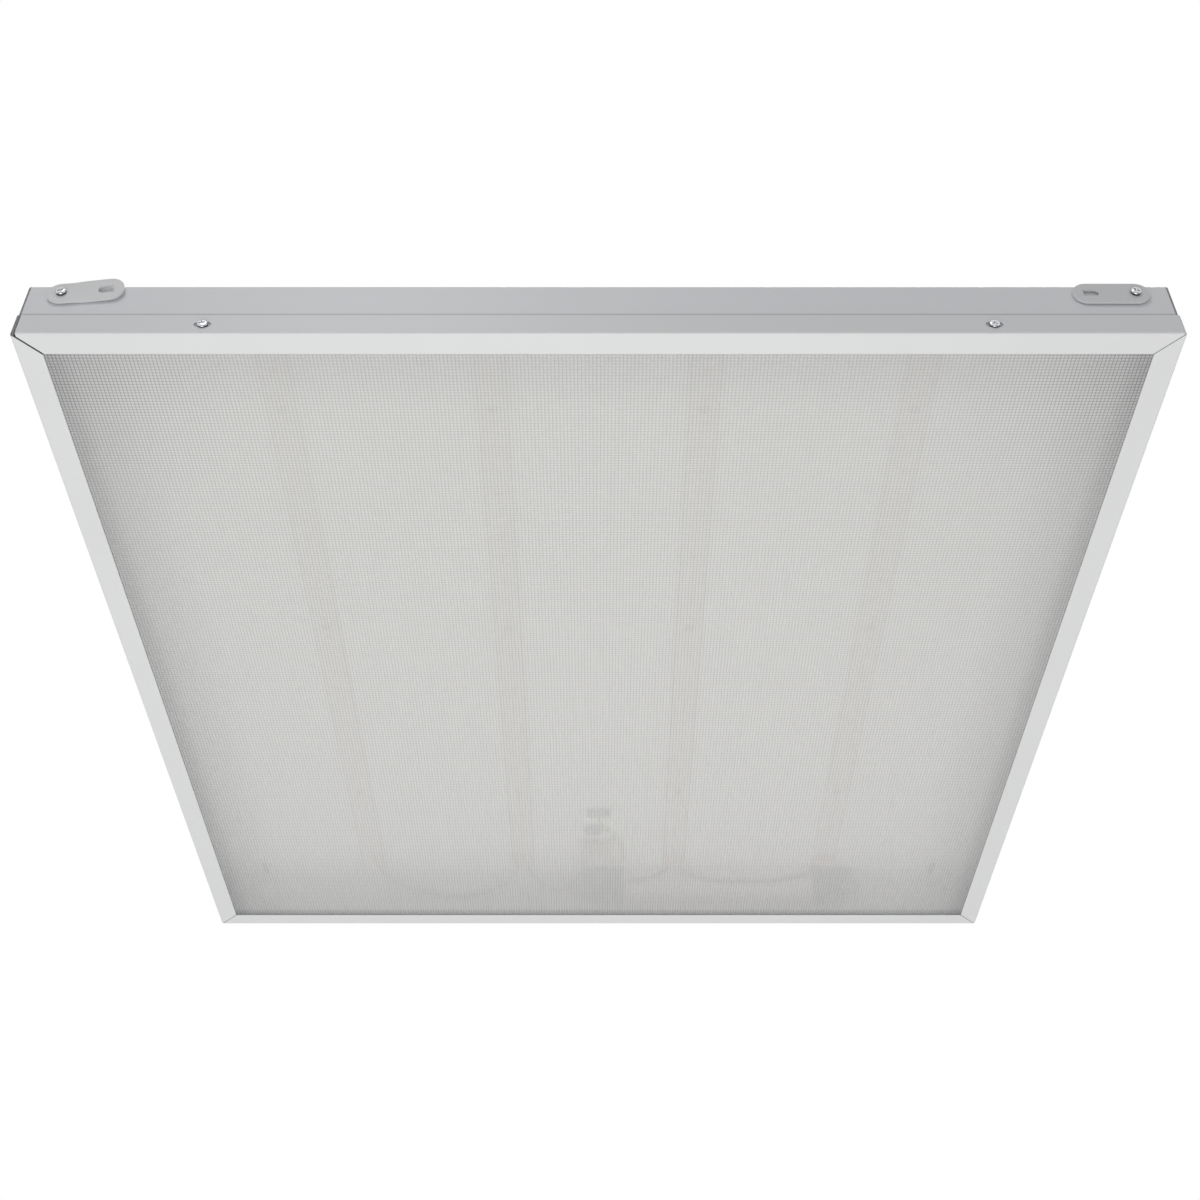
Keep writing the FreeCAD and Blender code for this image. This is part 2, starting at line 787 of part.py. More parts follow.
def connector_exit(x, run):
    """Where a link lead leaves a connector, and the end of its straight run from there."""
    return [(x, connector_face_y, link_lead_z), (x, connector_face_y + run, link_lead_z)]


def link_lead_1_2():
    """The first board to the second, in a loop before the far wall."""
    points = connector_exit(connector_places(0)[-1], free_run)
    points += bends((-162, 9.5, 8.5), (-138, 16, 15.5), (-100, 17.9, 17.5), (-76, 9.5, 11.5))
    points += reversed(connector_exit(connector_places(1)[0], free_run))
    return lead(points, link_lead_diameter, "link_lead_1_2")


def link_lead_2_3():
    """The second board to the third, round the driver's left end and along its side."""
    points = connector_exit(connector_places(1)[-1], free_run)
    points += bends((-46, 8.5, 9.5), (-31, 12.5, 14.5), (-19, 3.5, 15.3), (-7, -1.6, 14.9),
                    (20, -1.8, 14.1), (38, -1.6, 11.7), (49, -2.3, 7.3))
    points += reversed(connector_exit(connector_places(2)[0], tight_run))
    return lead(points, link_lead_diameter, "link_lead_2_3")


def link_lead_3_4():
    """The third board to the last, along the driver's side."""
    points = connector_exit(connector_places(2)[-1], tight_run)
    points += bends((69, -2.3, 7), (85, -1.6, 12.7), (116, -1.8, 14.5), (149, -1.6, 12.5),
                    (166, -2.2, 7.3))
    points += reversed(connector_exit(connector_places(3)[0], tight_run))
    return lead(points, link_lead_diameter, "link_lead_3_4")


def driver_output_lead():
    """From the last board round the driver's output end and into its end face."""
    y = driver_far_y - output_socket_inset
    z = driver_face_z + output_socket_height
    turn_x = driver_right + output_turn
    points = connector_exit(connector_places(3)[-1], tight_run)
    points += bends((187.5, -2.5, 7), (turn_x, -1, 14), (driver_right + output_bow, 7, 15))
    points += [(turn_x, y, z), (driver_right, y, z)]
    return lead(points, link_lead_diameter, "driver_output_lead")


def terminal_exit(pole, run):
    """Where a wire leaves the terminal block, and the end of its straight run from there."""
    x = pole_places()[pole]
    return [(x, terminal_far_y, terminal_wire_z), (x, terminal_far_y + run, terminal_wire_z)]


def driver_input(turn, inset):
    """The last run of a supply lead, into the driver's left end."""
    y = driver_far_y - inset
    z = driver_face_z + input_socket_height
    return [(driver_left - turn, y, z), (driver_left, y, z)]


def supply_lead_live():
    points = terminal_exit(0, terminal_run) + bends((-15.5, -7.5, 13.5), (-24.5, 4.5, 17.7))
    points += driver_input(live_turn, live_socket_inset)
    return lead(points, supply_lead_diameter, "supply_lead_live")


def supply_lead_neutral():
    points = terminal_exit(1, terminal_run) + bends((-5.5, -8.5, 14), (-18.5, 1.5, 18))
    points += driver_input(neutral_turn, neutral_socket_inset)
    return lead(points, supply_lead_diameter, "supply_lead_neutral")


def earth_lead():
    """From the right pole round the block's side and up to the earth clamp."""
    points = terminal_exit(2, free_run)
    points += bends((12.9, -13.3, 4.7), (19.8, -17.5, 5.3), (18.8, -35.5, 5.3), (10, -53.5, 3.5))
    points += [(earth_x, earth_far_y + earth_run, earth_wire_z),
               (earth_x, earth_far_y, earth_wire_z)]
    return lead(points, supply_lead_diameter, "earth_lead")


def internal_leads():
    return Part.Compound([link_lead_1_2(), link_lead_2_3(), link_lead_3_4(),
                          driver_output_lead(), supply_lead_live(), supply_lead_neutral(),
                          earth_lead()])


# ---- Frame screws and swivel ears ---------------------------------------------------------

def frame_screws(side):
    screw = pan_screw(frame_screw_head_radius, frame_screw_head_height,
                      frame_screw_radius, frame_screw_length)
    return Part.Compound([turned(on_near_wall(screw, x, frame_screw_z, half_side), side)
                          for x in (-frame_screw_x, frame_screw_x)])


def ear_outline(low_x, high_x):
    """The flat ear with its pivot at the origin, kept between two stations along it."""
    ear = obround(ear_length, ear_width, ear_sheet, (ear_arm / 2, 0, 0), ear_sides)
    flat_end = ear_slot_distance + ear_slot_length / 2
    round_end = ear_slot_distance - ear_slot_length / 2 + ear_slot_width / 2
    slot = box((round_end, -ear_slot_width / 2, -through),
               (flat_end, ear_slot_width / 2, ear_sheet + through))
    slot = slot.fuse(small_rod(ear_slot_width / 2, ear_sheet + 2 * through,
                               (round_end, 0, -through)))
    pivot = rod(ear_screw_radius + ear_pivot_clearance, ear_sheet + 2 * through,
                (0, 0, -through), (0, 0, 1))
    kept = box((low_x, -ear_width, -through), (high_x, ear_width, ear_sheet + through))
    return ear.cut([slot, pivot]).common(kept)


def ear_solid(bend):
    """An ear, creased away from the wall where it is bent."""
    if not bend:
        return ear_outline(-ear_width, ear_length)
    root = ear_outline(-ear_width, ear_bend_distance)
    arm = ear_outline(ear_bend_distance, ear_length)
    arm.rotate(vector(ear_bend_distance, 0, 0), vector(0, 1, 0), -bend)
    return root.fuse(arm).removeSplitter()


def mounting_ear(setting, side, points_right):
    """An ear at rest on its pivot. The left ear of a wall points right, the right one left."""
    lift, bend = setting
    ear = ear_solid(bend)
    angle = lift if points_right else 180 - lift
    ear.rotate(vector(0, 0, 0), vector(0, 0, 1), angle)
    x = -ear_pivot_x if points_right else ear_pivot_x
    return turned(on_near_wall(ear, x, ear_pivot_z, ear_seat), side)


def ear_hardware_places():
    return [(side, x) for side in (near_side, far_side) for x in (-ear_pivot_x, ear_pivot_x)]


def ear_screw(side, x):
    screw = pan_screw(ear_screw_head_radius, ear_screw_head_height,
                      ear_screw_radius, ear_screw_length)
    return turned(on_near_wall(screw, x, ear_pivot_z, ear_head_seat), side)


def ear_washers():
    """The washers that hold the ears off the walls."""
    bore = ear_screw_radius + ear_screw_clearance
    washer = ring_stack([
        (bore, 0),
        (ear_washer_radius, 0),
        (ear_washer_radius, ear_washer_sheet),
        (bore, ear_washer_sheet),
    ], small_sides, hollow=True)
    return Part.Compound([turned(on_near_wall(washer, x, ear_pivot_z, tray_half), side)
                          for side, x in ear_hardware_places()])


# ---- The whole light ----------------------------------------------------------------------

def all_pieces():
    pieces = {
        "housing_tray": housing_tray(),
        "front_frame": front_frame(),
        "diffuser": diffuser(),
        "board_rivets": board_rivets(),
        "driver_case": driver_case(),
        "driver_cover": driver_cover(),
        "driver_board": driver_board(),
        "driver_components": driver_components(),
        "driver_cap_input": driver_cap(driver_left, driver_case_left),
        "driver_cap_output": driver_cap(driver_right, driver_case_right),
        "driver_screws": driver_screws(),
        "terminal_block": terminal_block(),
        "terminal_screws": terminal_screws(),
        "cable_grommet": cable_grommet(),
        "earth_clamp": earth_clamp(),
        "earth_screws": earth_screws(),
        "internal_leads": internal_leads(),
        "frame_screws_near": frame_screws(near_side),
        "frame_screws_right": frame_screws(right_side),
        "frame_screws_far": frame_screws(far_side),
        "frame_screws_left": frame_screws(left_side),
        "ear_near_left": mounting_ear(bent_ear, near_side, True),
        "ear_near_right": mounting_ear(plain_ear, near_side, False),
        "ear_far_right": mounting_ear(plain_ear, far_side, True),
        "ear_far_left": mounting_ear(plain_ear, far_side, False),
        "ear_screw_near_left": ear_screw(near_side, -ear_pivot_x),
        "ear_screw_near_right": ear_screw(near_side, ear_pivot_x),
        "ear_screw_far_right": ear_screw(far_side, -ear_pivot_x),
        "ear_screw_far_left": ear_screw(far_side, ear_pivot_x),
        "ear_washers": ear_washers(),
    }
    for index, middle in enumerate(board_middles()):
        number = str(index + 1)
        pieces["led_board_" + number] = led_board(middle)
        pieces["led_chips_" + number] = led_chips(middle)
        pieces["board_connectors_" + number] = Part.Compound(
            [connector(x) for x in connector_places(index)])
    return pieces


os.makedirs("parts", exist_ok=True)
for node, shape in all_pieces().items():
    shape.exportStep("parts/" + node + ".step")
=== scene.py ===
import json
import math

import bmesh
import bpy
from mathutils import Matrix, Vector


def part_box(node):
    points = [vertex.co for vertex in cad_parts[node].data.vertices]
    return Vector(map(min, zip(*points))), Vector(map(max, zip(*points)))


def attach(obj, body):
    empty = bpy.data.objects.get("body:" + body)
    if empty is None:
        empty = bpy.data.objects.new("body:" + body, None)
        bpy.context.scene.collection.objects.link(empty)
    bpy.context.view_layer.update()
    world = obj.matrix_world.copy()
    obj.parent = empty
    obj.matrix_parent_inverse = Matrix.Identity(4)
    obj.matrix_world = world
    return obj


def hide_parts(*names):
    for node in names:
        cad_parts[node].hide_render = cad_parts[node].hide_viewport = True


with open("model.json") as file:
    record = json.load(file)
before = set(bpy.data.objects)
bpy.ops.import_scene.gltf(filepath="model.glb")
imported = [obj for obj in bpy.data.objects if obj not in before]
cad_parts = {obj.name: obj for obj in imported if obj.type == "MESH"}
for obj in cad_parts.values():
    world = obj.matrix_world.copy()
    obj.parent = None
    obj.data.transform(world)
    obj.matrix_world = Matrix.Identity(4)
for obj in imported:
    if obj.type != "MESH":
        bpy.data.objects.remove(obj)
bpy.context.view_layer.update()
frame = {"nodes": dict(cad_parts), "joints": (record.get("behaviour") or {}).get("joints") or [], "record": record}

# A square recessed ceiling light, seen from below. Metres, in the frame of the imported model:
# the origin is the middle of the visible face, +Z goes up into the ceiling, the near wall
# faces -Y. Sizes written in millimetres are turned into metres by MM. Angles are in degrees.

MM = 0.001
TINY = 1e-6
HOUSING = "housing"
SIDES = ("near", "right", "far", "left")

# Places read from the CAD nodes
DIFFUSER_LOW, DIFFUSER_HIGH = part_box("diffuser")
TRAY_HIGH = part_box("housing_tray")[1]
FRAME_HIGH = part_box("front_frame")[1]
BOARD_BOXES = [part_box("led_board_" + str(number)) for number in range(1, 5)]
BOARD_MIDDLES = [(low.x + high.x) / 2 for low, high in BOARD_BOXES]
BOARD_MIDDLE = BOARD_MIDDLES[2]
BOARD_PITCH = BOARD_MIDDLES[1] - BOARD_MIDDLES[0]
BOARD_HALF_WIDTH = (BOARD_BOXES[0][1].x - BOARD_BOXES[0][0].x) / 2
BOARD_NEAR_END = BOARD_BOXES[0][0].y
TRAY_SHEET = 0.5 * MM
BACK_HEIGHT = BOARD_BOXES[0][1].z + TRAY_SHEET

# Camera
CAMERA_PLACE = (0.0, -0.8061, -0.6210)
CAMERA_PITCH = 131.03          # from straight down
CAMERA_LENS = 47.06
CAMERA_SENSOR = 36.0
CAMERA_SHIFT = 0.00125

# Lamps: name, place, the point it faces, width and power
LAMPS = (("key", (-0.25, -0.75, -1.35), (0, -0.05, 0), 1.3, 6),
         ("under", (0, 0.1, -1.4), (0, 0, 0), 1.4, 8.8),
         ("front", (-0.3, -1.4, 1.0), (0, -0.3, 0), 0.5, 3.6),
         ("top", (0.5, 0.8, 2.0), (0, 0, 0), 1.6, 22))
WORLD_LIGHT = 0.34
WHITE = 1.0
VOID_LIGHT = 0.02              # the ceiling void, as the camera sees it through the diffuser
FLOOR_DROP = 1.5
FLOOR_SIDE = 9.0
FLOOR_COLOUR = (0.82, 0.82, 0.82)
GLOSS_SPREAD = 0.15            # how far a finish's roughness goes from its mean, as a share

# Where the regions of a finish start, and where they have their full colour
SKIN = (0.35 * MM, 0.15 * MM)              # in from the tray's outer faces
CORNER_SEAM_SHADE = (1.9 * MM, 1.2 * MM)         # painted shade at the open seams, in from the tray's walls at its upright corners
LIP_SHADOW_HEIGHTS = (2.1 * MM, 1.5 * MM)             # painted shadow, above the frame's lip
MITRE_SHADE_WIDTH = (0.5 * MM, 0.15 * MM)         # painted shade, across a mitre
OPEN_MITRE_SHADE = 0.45 * MM                     # what the open mitre's painted shade is wider by
LIP_START = (1.0 * MM, 1.6 * MM)           # above the flange's face
OPEN_CORNER_SHADE = (2.4 * MM, 1.6 * MM)           # painted shade, in from the frame's open corner
BOARD_EDGE_SHADE = (2.0 * MM, 0.6 * MM)        # painted shade, in from a board's long edges
BOARD_PADS = (22 * MM, 16 * MM)            # in from a board's near end

# Diffuser
PRISM_PITCH = 1.97 * MM
PRISM_DEPTH = 0.45 * MM
CLEAR_SLOT, JOIN_SLOT = 1, 2               # the material slots of the top and rim, and the join
FLANGE_WIDTH = 13.5 * MM
FRAME_OPENING = FRAME_HIGH.x - FLANGE_WIDTH
DIFFUSER_ROUGHNESS = 0.22
PRISM_COLOUR = (0.97, 0.966, 0.955, 1)
# The valleys between the prisms are painted darker, as painted shade.
VALLEY_SHADE_COLOUR = (0.72, 0.718, 0.71, 1)
VALLEY_EDGES = (0.3, 0.5)                  # of a prism's width, from its middle
NEAR_CORNER_VALLEY_SHADE = (0.48, 0.48, 0.485, 1)     # the valleys' painted shade in the two near corners, darker
CORNER_ACROSS = (170 * MM, 284 * MM)
CORNER_ALONG = (-150 * MM, -284 * MM)
DIFFUSER_WALL_SHADE = (                        # painted shade towards each wall: the wall, the strip's width, the colour at the wall
    ("near", 45 * MM, (0.92, 0.92, 0.925, 1)),
    ("side", 55 * MM, (0.9, 0.9, 0.905, 1)),
    ("side", 16 * MM, (0.84, 0.84, 0.845, 1)),
    ("far", 110 * MM, (0.87, 0.87, 0.875, 1)),
    ("far", 10 * MM, (0.7, 0.7, 0.74, 1)))
HIDDEN_STRIP = (0.3 * MM, 0.9 * MM)        # painted shade past the frame's inner edge, where the sheet lies on the frame
UNDER_FRAME_SHADE = (0.04, 0.04, 0.042, 1)
GLOW_SHARE = 0.06
CLEAR_SHARE = 0.32
CLEAR_ROUGHNESS = 0.15                     # of the flat top, with its colour and its haze
CLEAR_COLOUR = (0.9, 0.9, 0.89, 1)
HAZE_SIZE = 40

# Screws: head radius, head height, shank radius and length below the head, in millimetres
SCREW_SIZES = {"frame_screw": (2.75, 1.3, 1.4, 7.0), "ear_screw": (2.7, 1.9, 1.5, 8.0),
               "driver_screws": (3.0, 1.6, 1.5, 4.0), "earth_screws": (2.9, 1.8, 1.5, 2.0)}
SCREW_TURNS = {"frame_screws_near": (18, 40), "frame_screws_right": (65, 5),
               "frame_screws_far": (30, 80), "frame_screws_left": (50, 12),
               "ear_screw_near_left": 25, "ear_screw_near_right": 55,
               "ear_screw_far_right": 10, "ear_screw_far_left": 70,
               "driver_screws": 35, "earth_screws": 20}
# Shares of a screw's shank radius, head radius and head height, and of its recess's radius
POINT_RADIUS, POINT_LENGTH, THREAD_ROOT, THREAD_PITCH, NECK = 0.5, 0.6, 0.82, 0.55, 0.9
UNDERSIDE, DOME_FLAT, RECESS_RADIUS, RECESS_WIDTH = 0.97, 0.62, 0.62, 0.3
RIM_EDGE, DOME_START, RIM_SHADE_HEIGHT, RECESS_DEPTH = 0.12, 0.3, 0.55, 0.72
BLADE_LOW, BLADE_HIGH = 0.45, 1.5

# Ears
EAR_CORNERS = ("near_left", "near_right", "far_right", "far_left")
EAR_LENGTH = 39.9 * MM
EAR_WIDTH = 15.0 * MM
EAR_SHEET = 1.5 * MM
EAR_EDGE = 0.18 * MM
EAR_SLOT_LENGTH = 8.0 * MM
EAR_SLOT_WIDTH = 5.0 * MM
EAR_SLOT_DISTANCE = 23.0 * MM
EAR_HOLE_RADIUS = 1.55 * MM
EAR_CREASE = 9.0 * MM          # from the pivot to the middle of the bend
EAR_CREASE_LENGTH = 7.0 * MM
CREASE_CUTS = 10
EAR_LIFT = {"ear_near_left": 6.5}
EAR_BEND = {"ear_near_left": 2.4}
EAR_TWIST = {"ear_near_left": 4.0}
# The near right ear gets a darker copy of the ears' paint, as painted shade.
SHADED_EAR = "ear_near_right"
ROUND_STEPS = 48

# Wires
LINK_LEAD = 2.4 * MM
SUPPLY_LEAD = 2.0 * MM
STRIPE_SCALE = 60

# Grommet
GROMMET_BORE = 3.5 * MM
GROMMET_NECK = 5.2 * MM
GROMMET_FLANGE = 1.2 * MM
GROMMET_BEVEL = 0.3 * MM

# Rivets. The pit that the mandrel leaves in the head is in millimetres
RIVET_FIRST = -212.0 * MM
RIVET_PITCH = 190.0 * MM
RIVET_COUNT = 3
RIVET_PIT = ((0, 0.25), (0.8, 0.25), (0.85, 0))
RIVET_CROWN = 1.0 * MM
RIVET_DOME = 0.9               # share of the head's height
RIVET_HEAD_RADIUS = 3.0 * MM
RIVET_HEAD_HEIGHT = 1.0 * MM
RIVET_SHANK = 1.55 * MM
RIVET_TAIL = 1.4 * MM
RIVET_TAIL_EDGE = 0.3 * MM
RIVET_TAPER = (0.98, 0.8)      # shares of the shank's radius at the tail's edge and end

# LED packages
CHIP_PITCH = 19.0 * MM
CHIP_LENGTH = 3.5 * MM
CHIP_WIDTH = 2.8 * MM
CHIP_RIM = 0.35 * MM
CHIP_SUNK = 0.15 * MM
CHIP_BEVEL = 0.12 * MM

# The widths in millimetres of the soft edges on moulded CAD nodes
EDGE_WIDTHS = {"driver_case": 0.3, "driver_cover": 0.3, "driver_cap_input": 0.5,
               "driver_cap_output": 0.5, "terminal_block": 0.3, "earth_clamp": 0.25}
EDGE_SEGMENTS = 2
EDGE_ANGLE = 40


# ---- Camera, light and floor --------------------------------------------------------------

def make_camera():
    data = bpy.data.cameras.new("camera")
    data.lens = CAMERA_LENS
    data.sensor_width = CAMERA_SENSOR
    data.shift_x = CAMERA_SHIFT
    camera = bpy.data.objects.new("camera", data)
    camera.location = CAMERA_PLACE
    camera.rotation_euler = (math.radians(CAMERA_PITCH), 0, 0)
    bpy.context.scene.collection.objects.link(camera)
    bpy.context.scene.camera = camera


def make_lamps():
    """Round soft lamps."""
    for name, place, aim, size, power in LAMPS:
        data = bpy.data.lights.new(name, "AREA")
        data.shape = "DISK"
        data.size = size
        data.energy = power
        lamp = bpy.data.objects.new(name, data)
        lamp.location = place
        facing = Vector(aim) - Vector(place)
        lamp.rotation_euler = facing.to_track_quat("-Z", "Y").to_euler()
        bpy.context.scene.collection.objects.link(lamp)


def make_world():
    """Pale light from all round, white where the camera, gloss or glass sees it, and nearly
    dark where the camera looks on through the diffuser."""
    world = bpy.data.worlds.new("studio")
    world.use_nodes = True
    bpy.context.scene.world = world
    tree = world.node_tree
    background = tree.nodes["Background"]
    background.inputs["Color"].default_value = (1.0, 1.0, 1.0, 1.0)
    path = tree.nodes.new("ShaderNodeLightPath")
    seen = math_node(tree, "MAXIMUM", path.outputs["Is Camera Ray"],
                     path.outputs["Is Glossy Ray"])
    seen = math_node(tree, "MAXIMUM", seen, path.outputs["Is Transmission Ray"])
    strength = tree.nodes.new("ShaderNodeMapRange")
    strength.inputs["To Min"].default_value = WORLD_LIGHT
    strength.inputs["To Max"].default_value = WHITE
    tree.links.new(seen, strength.inputs["Value"])
    behind = math_node(tree, "GREATER_THAN", path.outputs["Transparent Depth"], 0.5)
    void = tree.nodes.new("ShaderNodeMix")
    void.data_type = "FLOAT"
    void.inputs["B"].default_value = VOID_LIGHT
    tree.links.new(math_node(tree, "MULTIPLY", behind, path.outputs["Is Camera Ray"]),
                   void.inputs["Factor"])
    tree.links.new(strength.outputs["Result"], void.inputs["A"])
    tree.links.new(void.outputs["Result"], background.inputs["Strength"])


def make_floor():
    """A plain pale floor under the light, as in a room."""
    half = FLOOR_SIDE / 2
    mesh = mesh_from("floor", [(-half, -half, -FLOOR_DROP), (half, -half, -FLOOR_DROP),
                               (half, half, -FLOOR_DROP), (-half, half, -FLOOR_DROP)],
                     [(0, 1, 2, 3)])
    floor = loose_object("floor", mesh)
    mesh.materials.append(surface("floor", FLOOR_COLOUR, 0.8, grain=40, depth=0.0))


# ---- Materials ----------------------------------------------------------------------------

def surface(name, colour, roughness, metallic=0.0, mottle=0.02, patch=60.0, grain=1.0,
            depth=0.01, regions=()):
    """A finish with slow colour variation, fine grain in its roughness and relief. patch and
    grain are the sizes of these in millimetres, depth the relief's height. Each region is a
    colour and a function that says where on the piece it lies."""
    material = bpy.data.materials.new(name)
    material.use_nodes = True
    tree = material.node_tree
    shader = tree.nodes["Principled BSDF"]
    shader.inputs["Metallic"].default_value = metallic
    place = tree.nodes.new("ShaderNodeTexCoord")
    fine = noise(tree, place.outputs["Object"], grain, 3)
    slow = noise(tree, place.outputs["Object"], patch, 2)
    tone = tree.nodes.new("ShaderNodeMix")
    tone.data_type = "RGBA"
    tone.inputs["A"].default_value = [channel * (1 - mottle) for channel in colour] + [1]
    tone.inputs["B"].default_value = [min(1, channel * (1 + mottle)) for channel in colour] + [1]
    tree.links.new(slow.outputs["Fac"], tone.inputs["Factor"])
    for shade, where in regions:
        tone = mix_colour(tree, where(tree, place.outputs["Object"]),
                          tone.outputs["Result"], (*shade, 1))
    tree.links.new(tone.outputs["Result"], shader.inputs["Base Color"])
    gloss = tree.nodes.new("ShaderNodeMapRange")
    gloss.inputs["To Min"].default_value = roughness * (1 - GLOSS_SPREAD)
    gloss.inputs["To Max"].default_value = min(1.0, roughness * (1 + GLOSS_SPREAD))
    tree.links.new(fine.outputs["Fac"], gloss.inputs["Value"])
    tree.links.new(gloss.outputs["Result"], shader.inputs["Roughness"])
    if depth:
        relief = tree.nodes.new("ShaderNodeBump")
        relief.inputs["Distance"].default_value = depth * MM
        tree.links.new(fine.outputs["Fac"], relief.inputs["Height"])
        tree.links.new(relief.outputs["Normal"], shader.inputs["Normal"])
    return material


def noise(tree, vector, size, detail):
    """A noise texture whose features are about that many millimetres."""
    texture = tree.nodes.new("ShaderNodeTexNoise")
    texture.inputs["Scale"].default_value = 1 / (size * MM)
    texture.inputs["Detail"].default_value = detail
    tree.links.new(vector, texture.inputs["Vector"])
    return texture


def math_node(tree, operation, first, second=None):
    node = tree.nodes.new("ShaderNodeMath")
    node.operation = operation
    for socket, value in zip(node.inputs, (first, second)):
        if isinstance(value, (int, float)):
            socket.default_value = value
        elif value is not None:
            tree.links.new(value, socket)
    return node.outputs[0]


def mix_colour(tree, factor, first, second):
    """A colour mix. Each of the two is a socket or a colour."""
    node = tree.nodes.new("ShaderNodeMix")
    node.data_type = "RGBA"
    tree.links.new(factor, node.inputs["Factor"])
    for key, value in (("A", first), ("B", second)):
        if isinstance(value, tuple):
            node.inputs[key].default_value = value
        else:
            tree.links.new(value, node.inputs[key])
    return node


def reach(tree, vector):
    """How far a point is from the light's middle, across X and across Y."""
    axes = tree.nodes.new("ShaderNodeSeparateXYZ")
    tree.links.new(vector, axes.inputs["Vector"])
    across = [math_node(tree, "ABSOLUTE", axes.outputs[axis]) for axis in "XY"]
    return across, axes


def inwards(edge, distances):
    return [edge - distance for distance in distances]


def wall_faces(tree, across):
    """The outer faces of the tray's walls."""
    furthest = math_node(tree, "MAXIMUM", *across)
    return smooth_step(tree, furthest, *inwards(TRAY_HIGH.x, SKIN))


def outer_faces(tree, vector):
    """The outside of the tray: its walls' outer faces and its back, painted darker and bluer
    than the inside as painted shade.
    """
    across, axes = reach(tree, vector)
    wall = wall_faces(tree, across)
    back = smooth_step(tree, axes.outputs["Z"], *inwards(BACK_HEIGHT, SKIN))
    return math_node(tree, "MAXIMUM", wall, back)


def tray_corner_shade(tree, vector):
    """Painted shade along the open seams at the four upright corners."""
    across, _ = reach(tree, vector)
    return smooth_step(tree, math_node(tree, "MINIMUM", *across),
                       *inwards(TRAY_HIGH.x, CORNER_SEAM_SHADE))


def lip_shadow(tree, vector):
    """A painted shadow line on each wall just above the frame's lip, where the wall goes in
    behind it.
    """
    across, axes = reach(tree, vector)
    wall = wall_faces(tree, across)
    low = smooth_step(tree, axes.outputs["Z"],
                      *[FRAME_HIGH.z + height for height in LIP_SHADOW_HEIGHTS])
    return math_node(tree, "MULTIPLY", wall, low)


def mitre_shade(tree, vector):
    """Painted shade along the joints between the frame's four sides, wider along the open one."""
    across, axes = reach(tree, vector)
    apart = math_node(tree, "ABSOLUTE", math_node(tree, "SUBTRACT", *across))
    left = math_node(tree, "LESS_THAN", axes.outputs["X"], 0.0)
    near = math_node(tree, "LESS_THAN", axes.outputs["Y"], 0.0)
    wider = math_node(tree, "MULTIPLY", math_node(tree, "MULTIPLY", left, near), OPEN_MITRE_SHADE)
    return smooth_step(tree, math_node(tree, "SUBTRACT", apart, wider), *MITRE_SHADE_WIDTH)


def lip_faces(tree, vector):
    """The frame's upright lip, which gets a bluer, slightly darker copy of the frame's paint
    as painted shade.
    """
    _, axes = reach(tree, vector)
    return smooth_step(tree, axes.outputs["Z"], *LIP_START)


def open_corner_shade(tree, vector):
    """Painted shade at the frame's one open corner, where its strip ends."""
    _, axes = reach(tree, vector)
    edges = [-FRAME_HIGH.x + distance for distance in OPEN_CORNER_SHADE]
    sides = [smooth_step(tree, axes.outputs[axis], *edges) for axis in "XY"]
    return math_node(tree, "MULTIPLY", *sides)


def board_edge_shade(tree, vector):
    """Painted shade along both long edges of each LED board."""
    across, _ = reach(tree, vector)
    shifted = math_node(tree, "SUBTRACT", across[0], BOARD_MIDDLE)
    turned = math_node(tree, "PINGPONG", shifted, BOARD_PITCH / 2)
    return smooth_step(tree, turned, *inwards(BOARD_HALF_WIDTH, BOARD_EDGE_SHADE))


def board_ends(tree, vector):
    """The bare solder pads across the near end of each LED board."""
    _, axes = reach(tree, vector)
    return smooth_step(tree, axes.outputs["Y"],
                       *[BOARD_NEAR_END + distance for distance in BOARD_PADS])


def smooth_step(tree, value, start, end):
    node = tree.nodes.new("ShaderNodeMapRange")
    node.interpolation_type = "SMOOTHSTEP"
    node.inputs["From Min"].default_value = start
    node.inputs["From Max"].default_value = end
    tree.links.new(value, node.inputs["Value"])
    return node.outputs["Result"]


def prism_valleys(tree, axes):
    """How near a point is to the valleys round its prism."""
    distances = []
    for axis, low in (("X", DIFFUSER_LOW.x), ("Y", DIFFUSER_LOW.y)):
        along = math_node(tree, "SUBTRACT", axes.outputs[axis], low)
        cells = math_node(tree, "DIVIDE", along, prism_size(axis))
        inside = math_node(tree, "FRACT", cells)
        centred = math_node(tree, "SUBTRACT", inside, 0.5)
        distances.append(math_node(tree, "ABSOLUTE", centred))
    return smooth_step(tree, math_node(tree, "MAXIMUM", *distances), *VALLEY_EDGES)


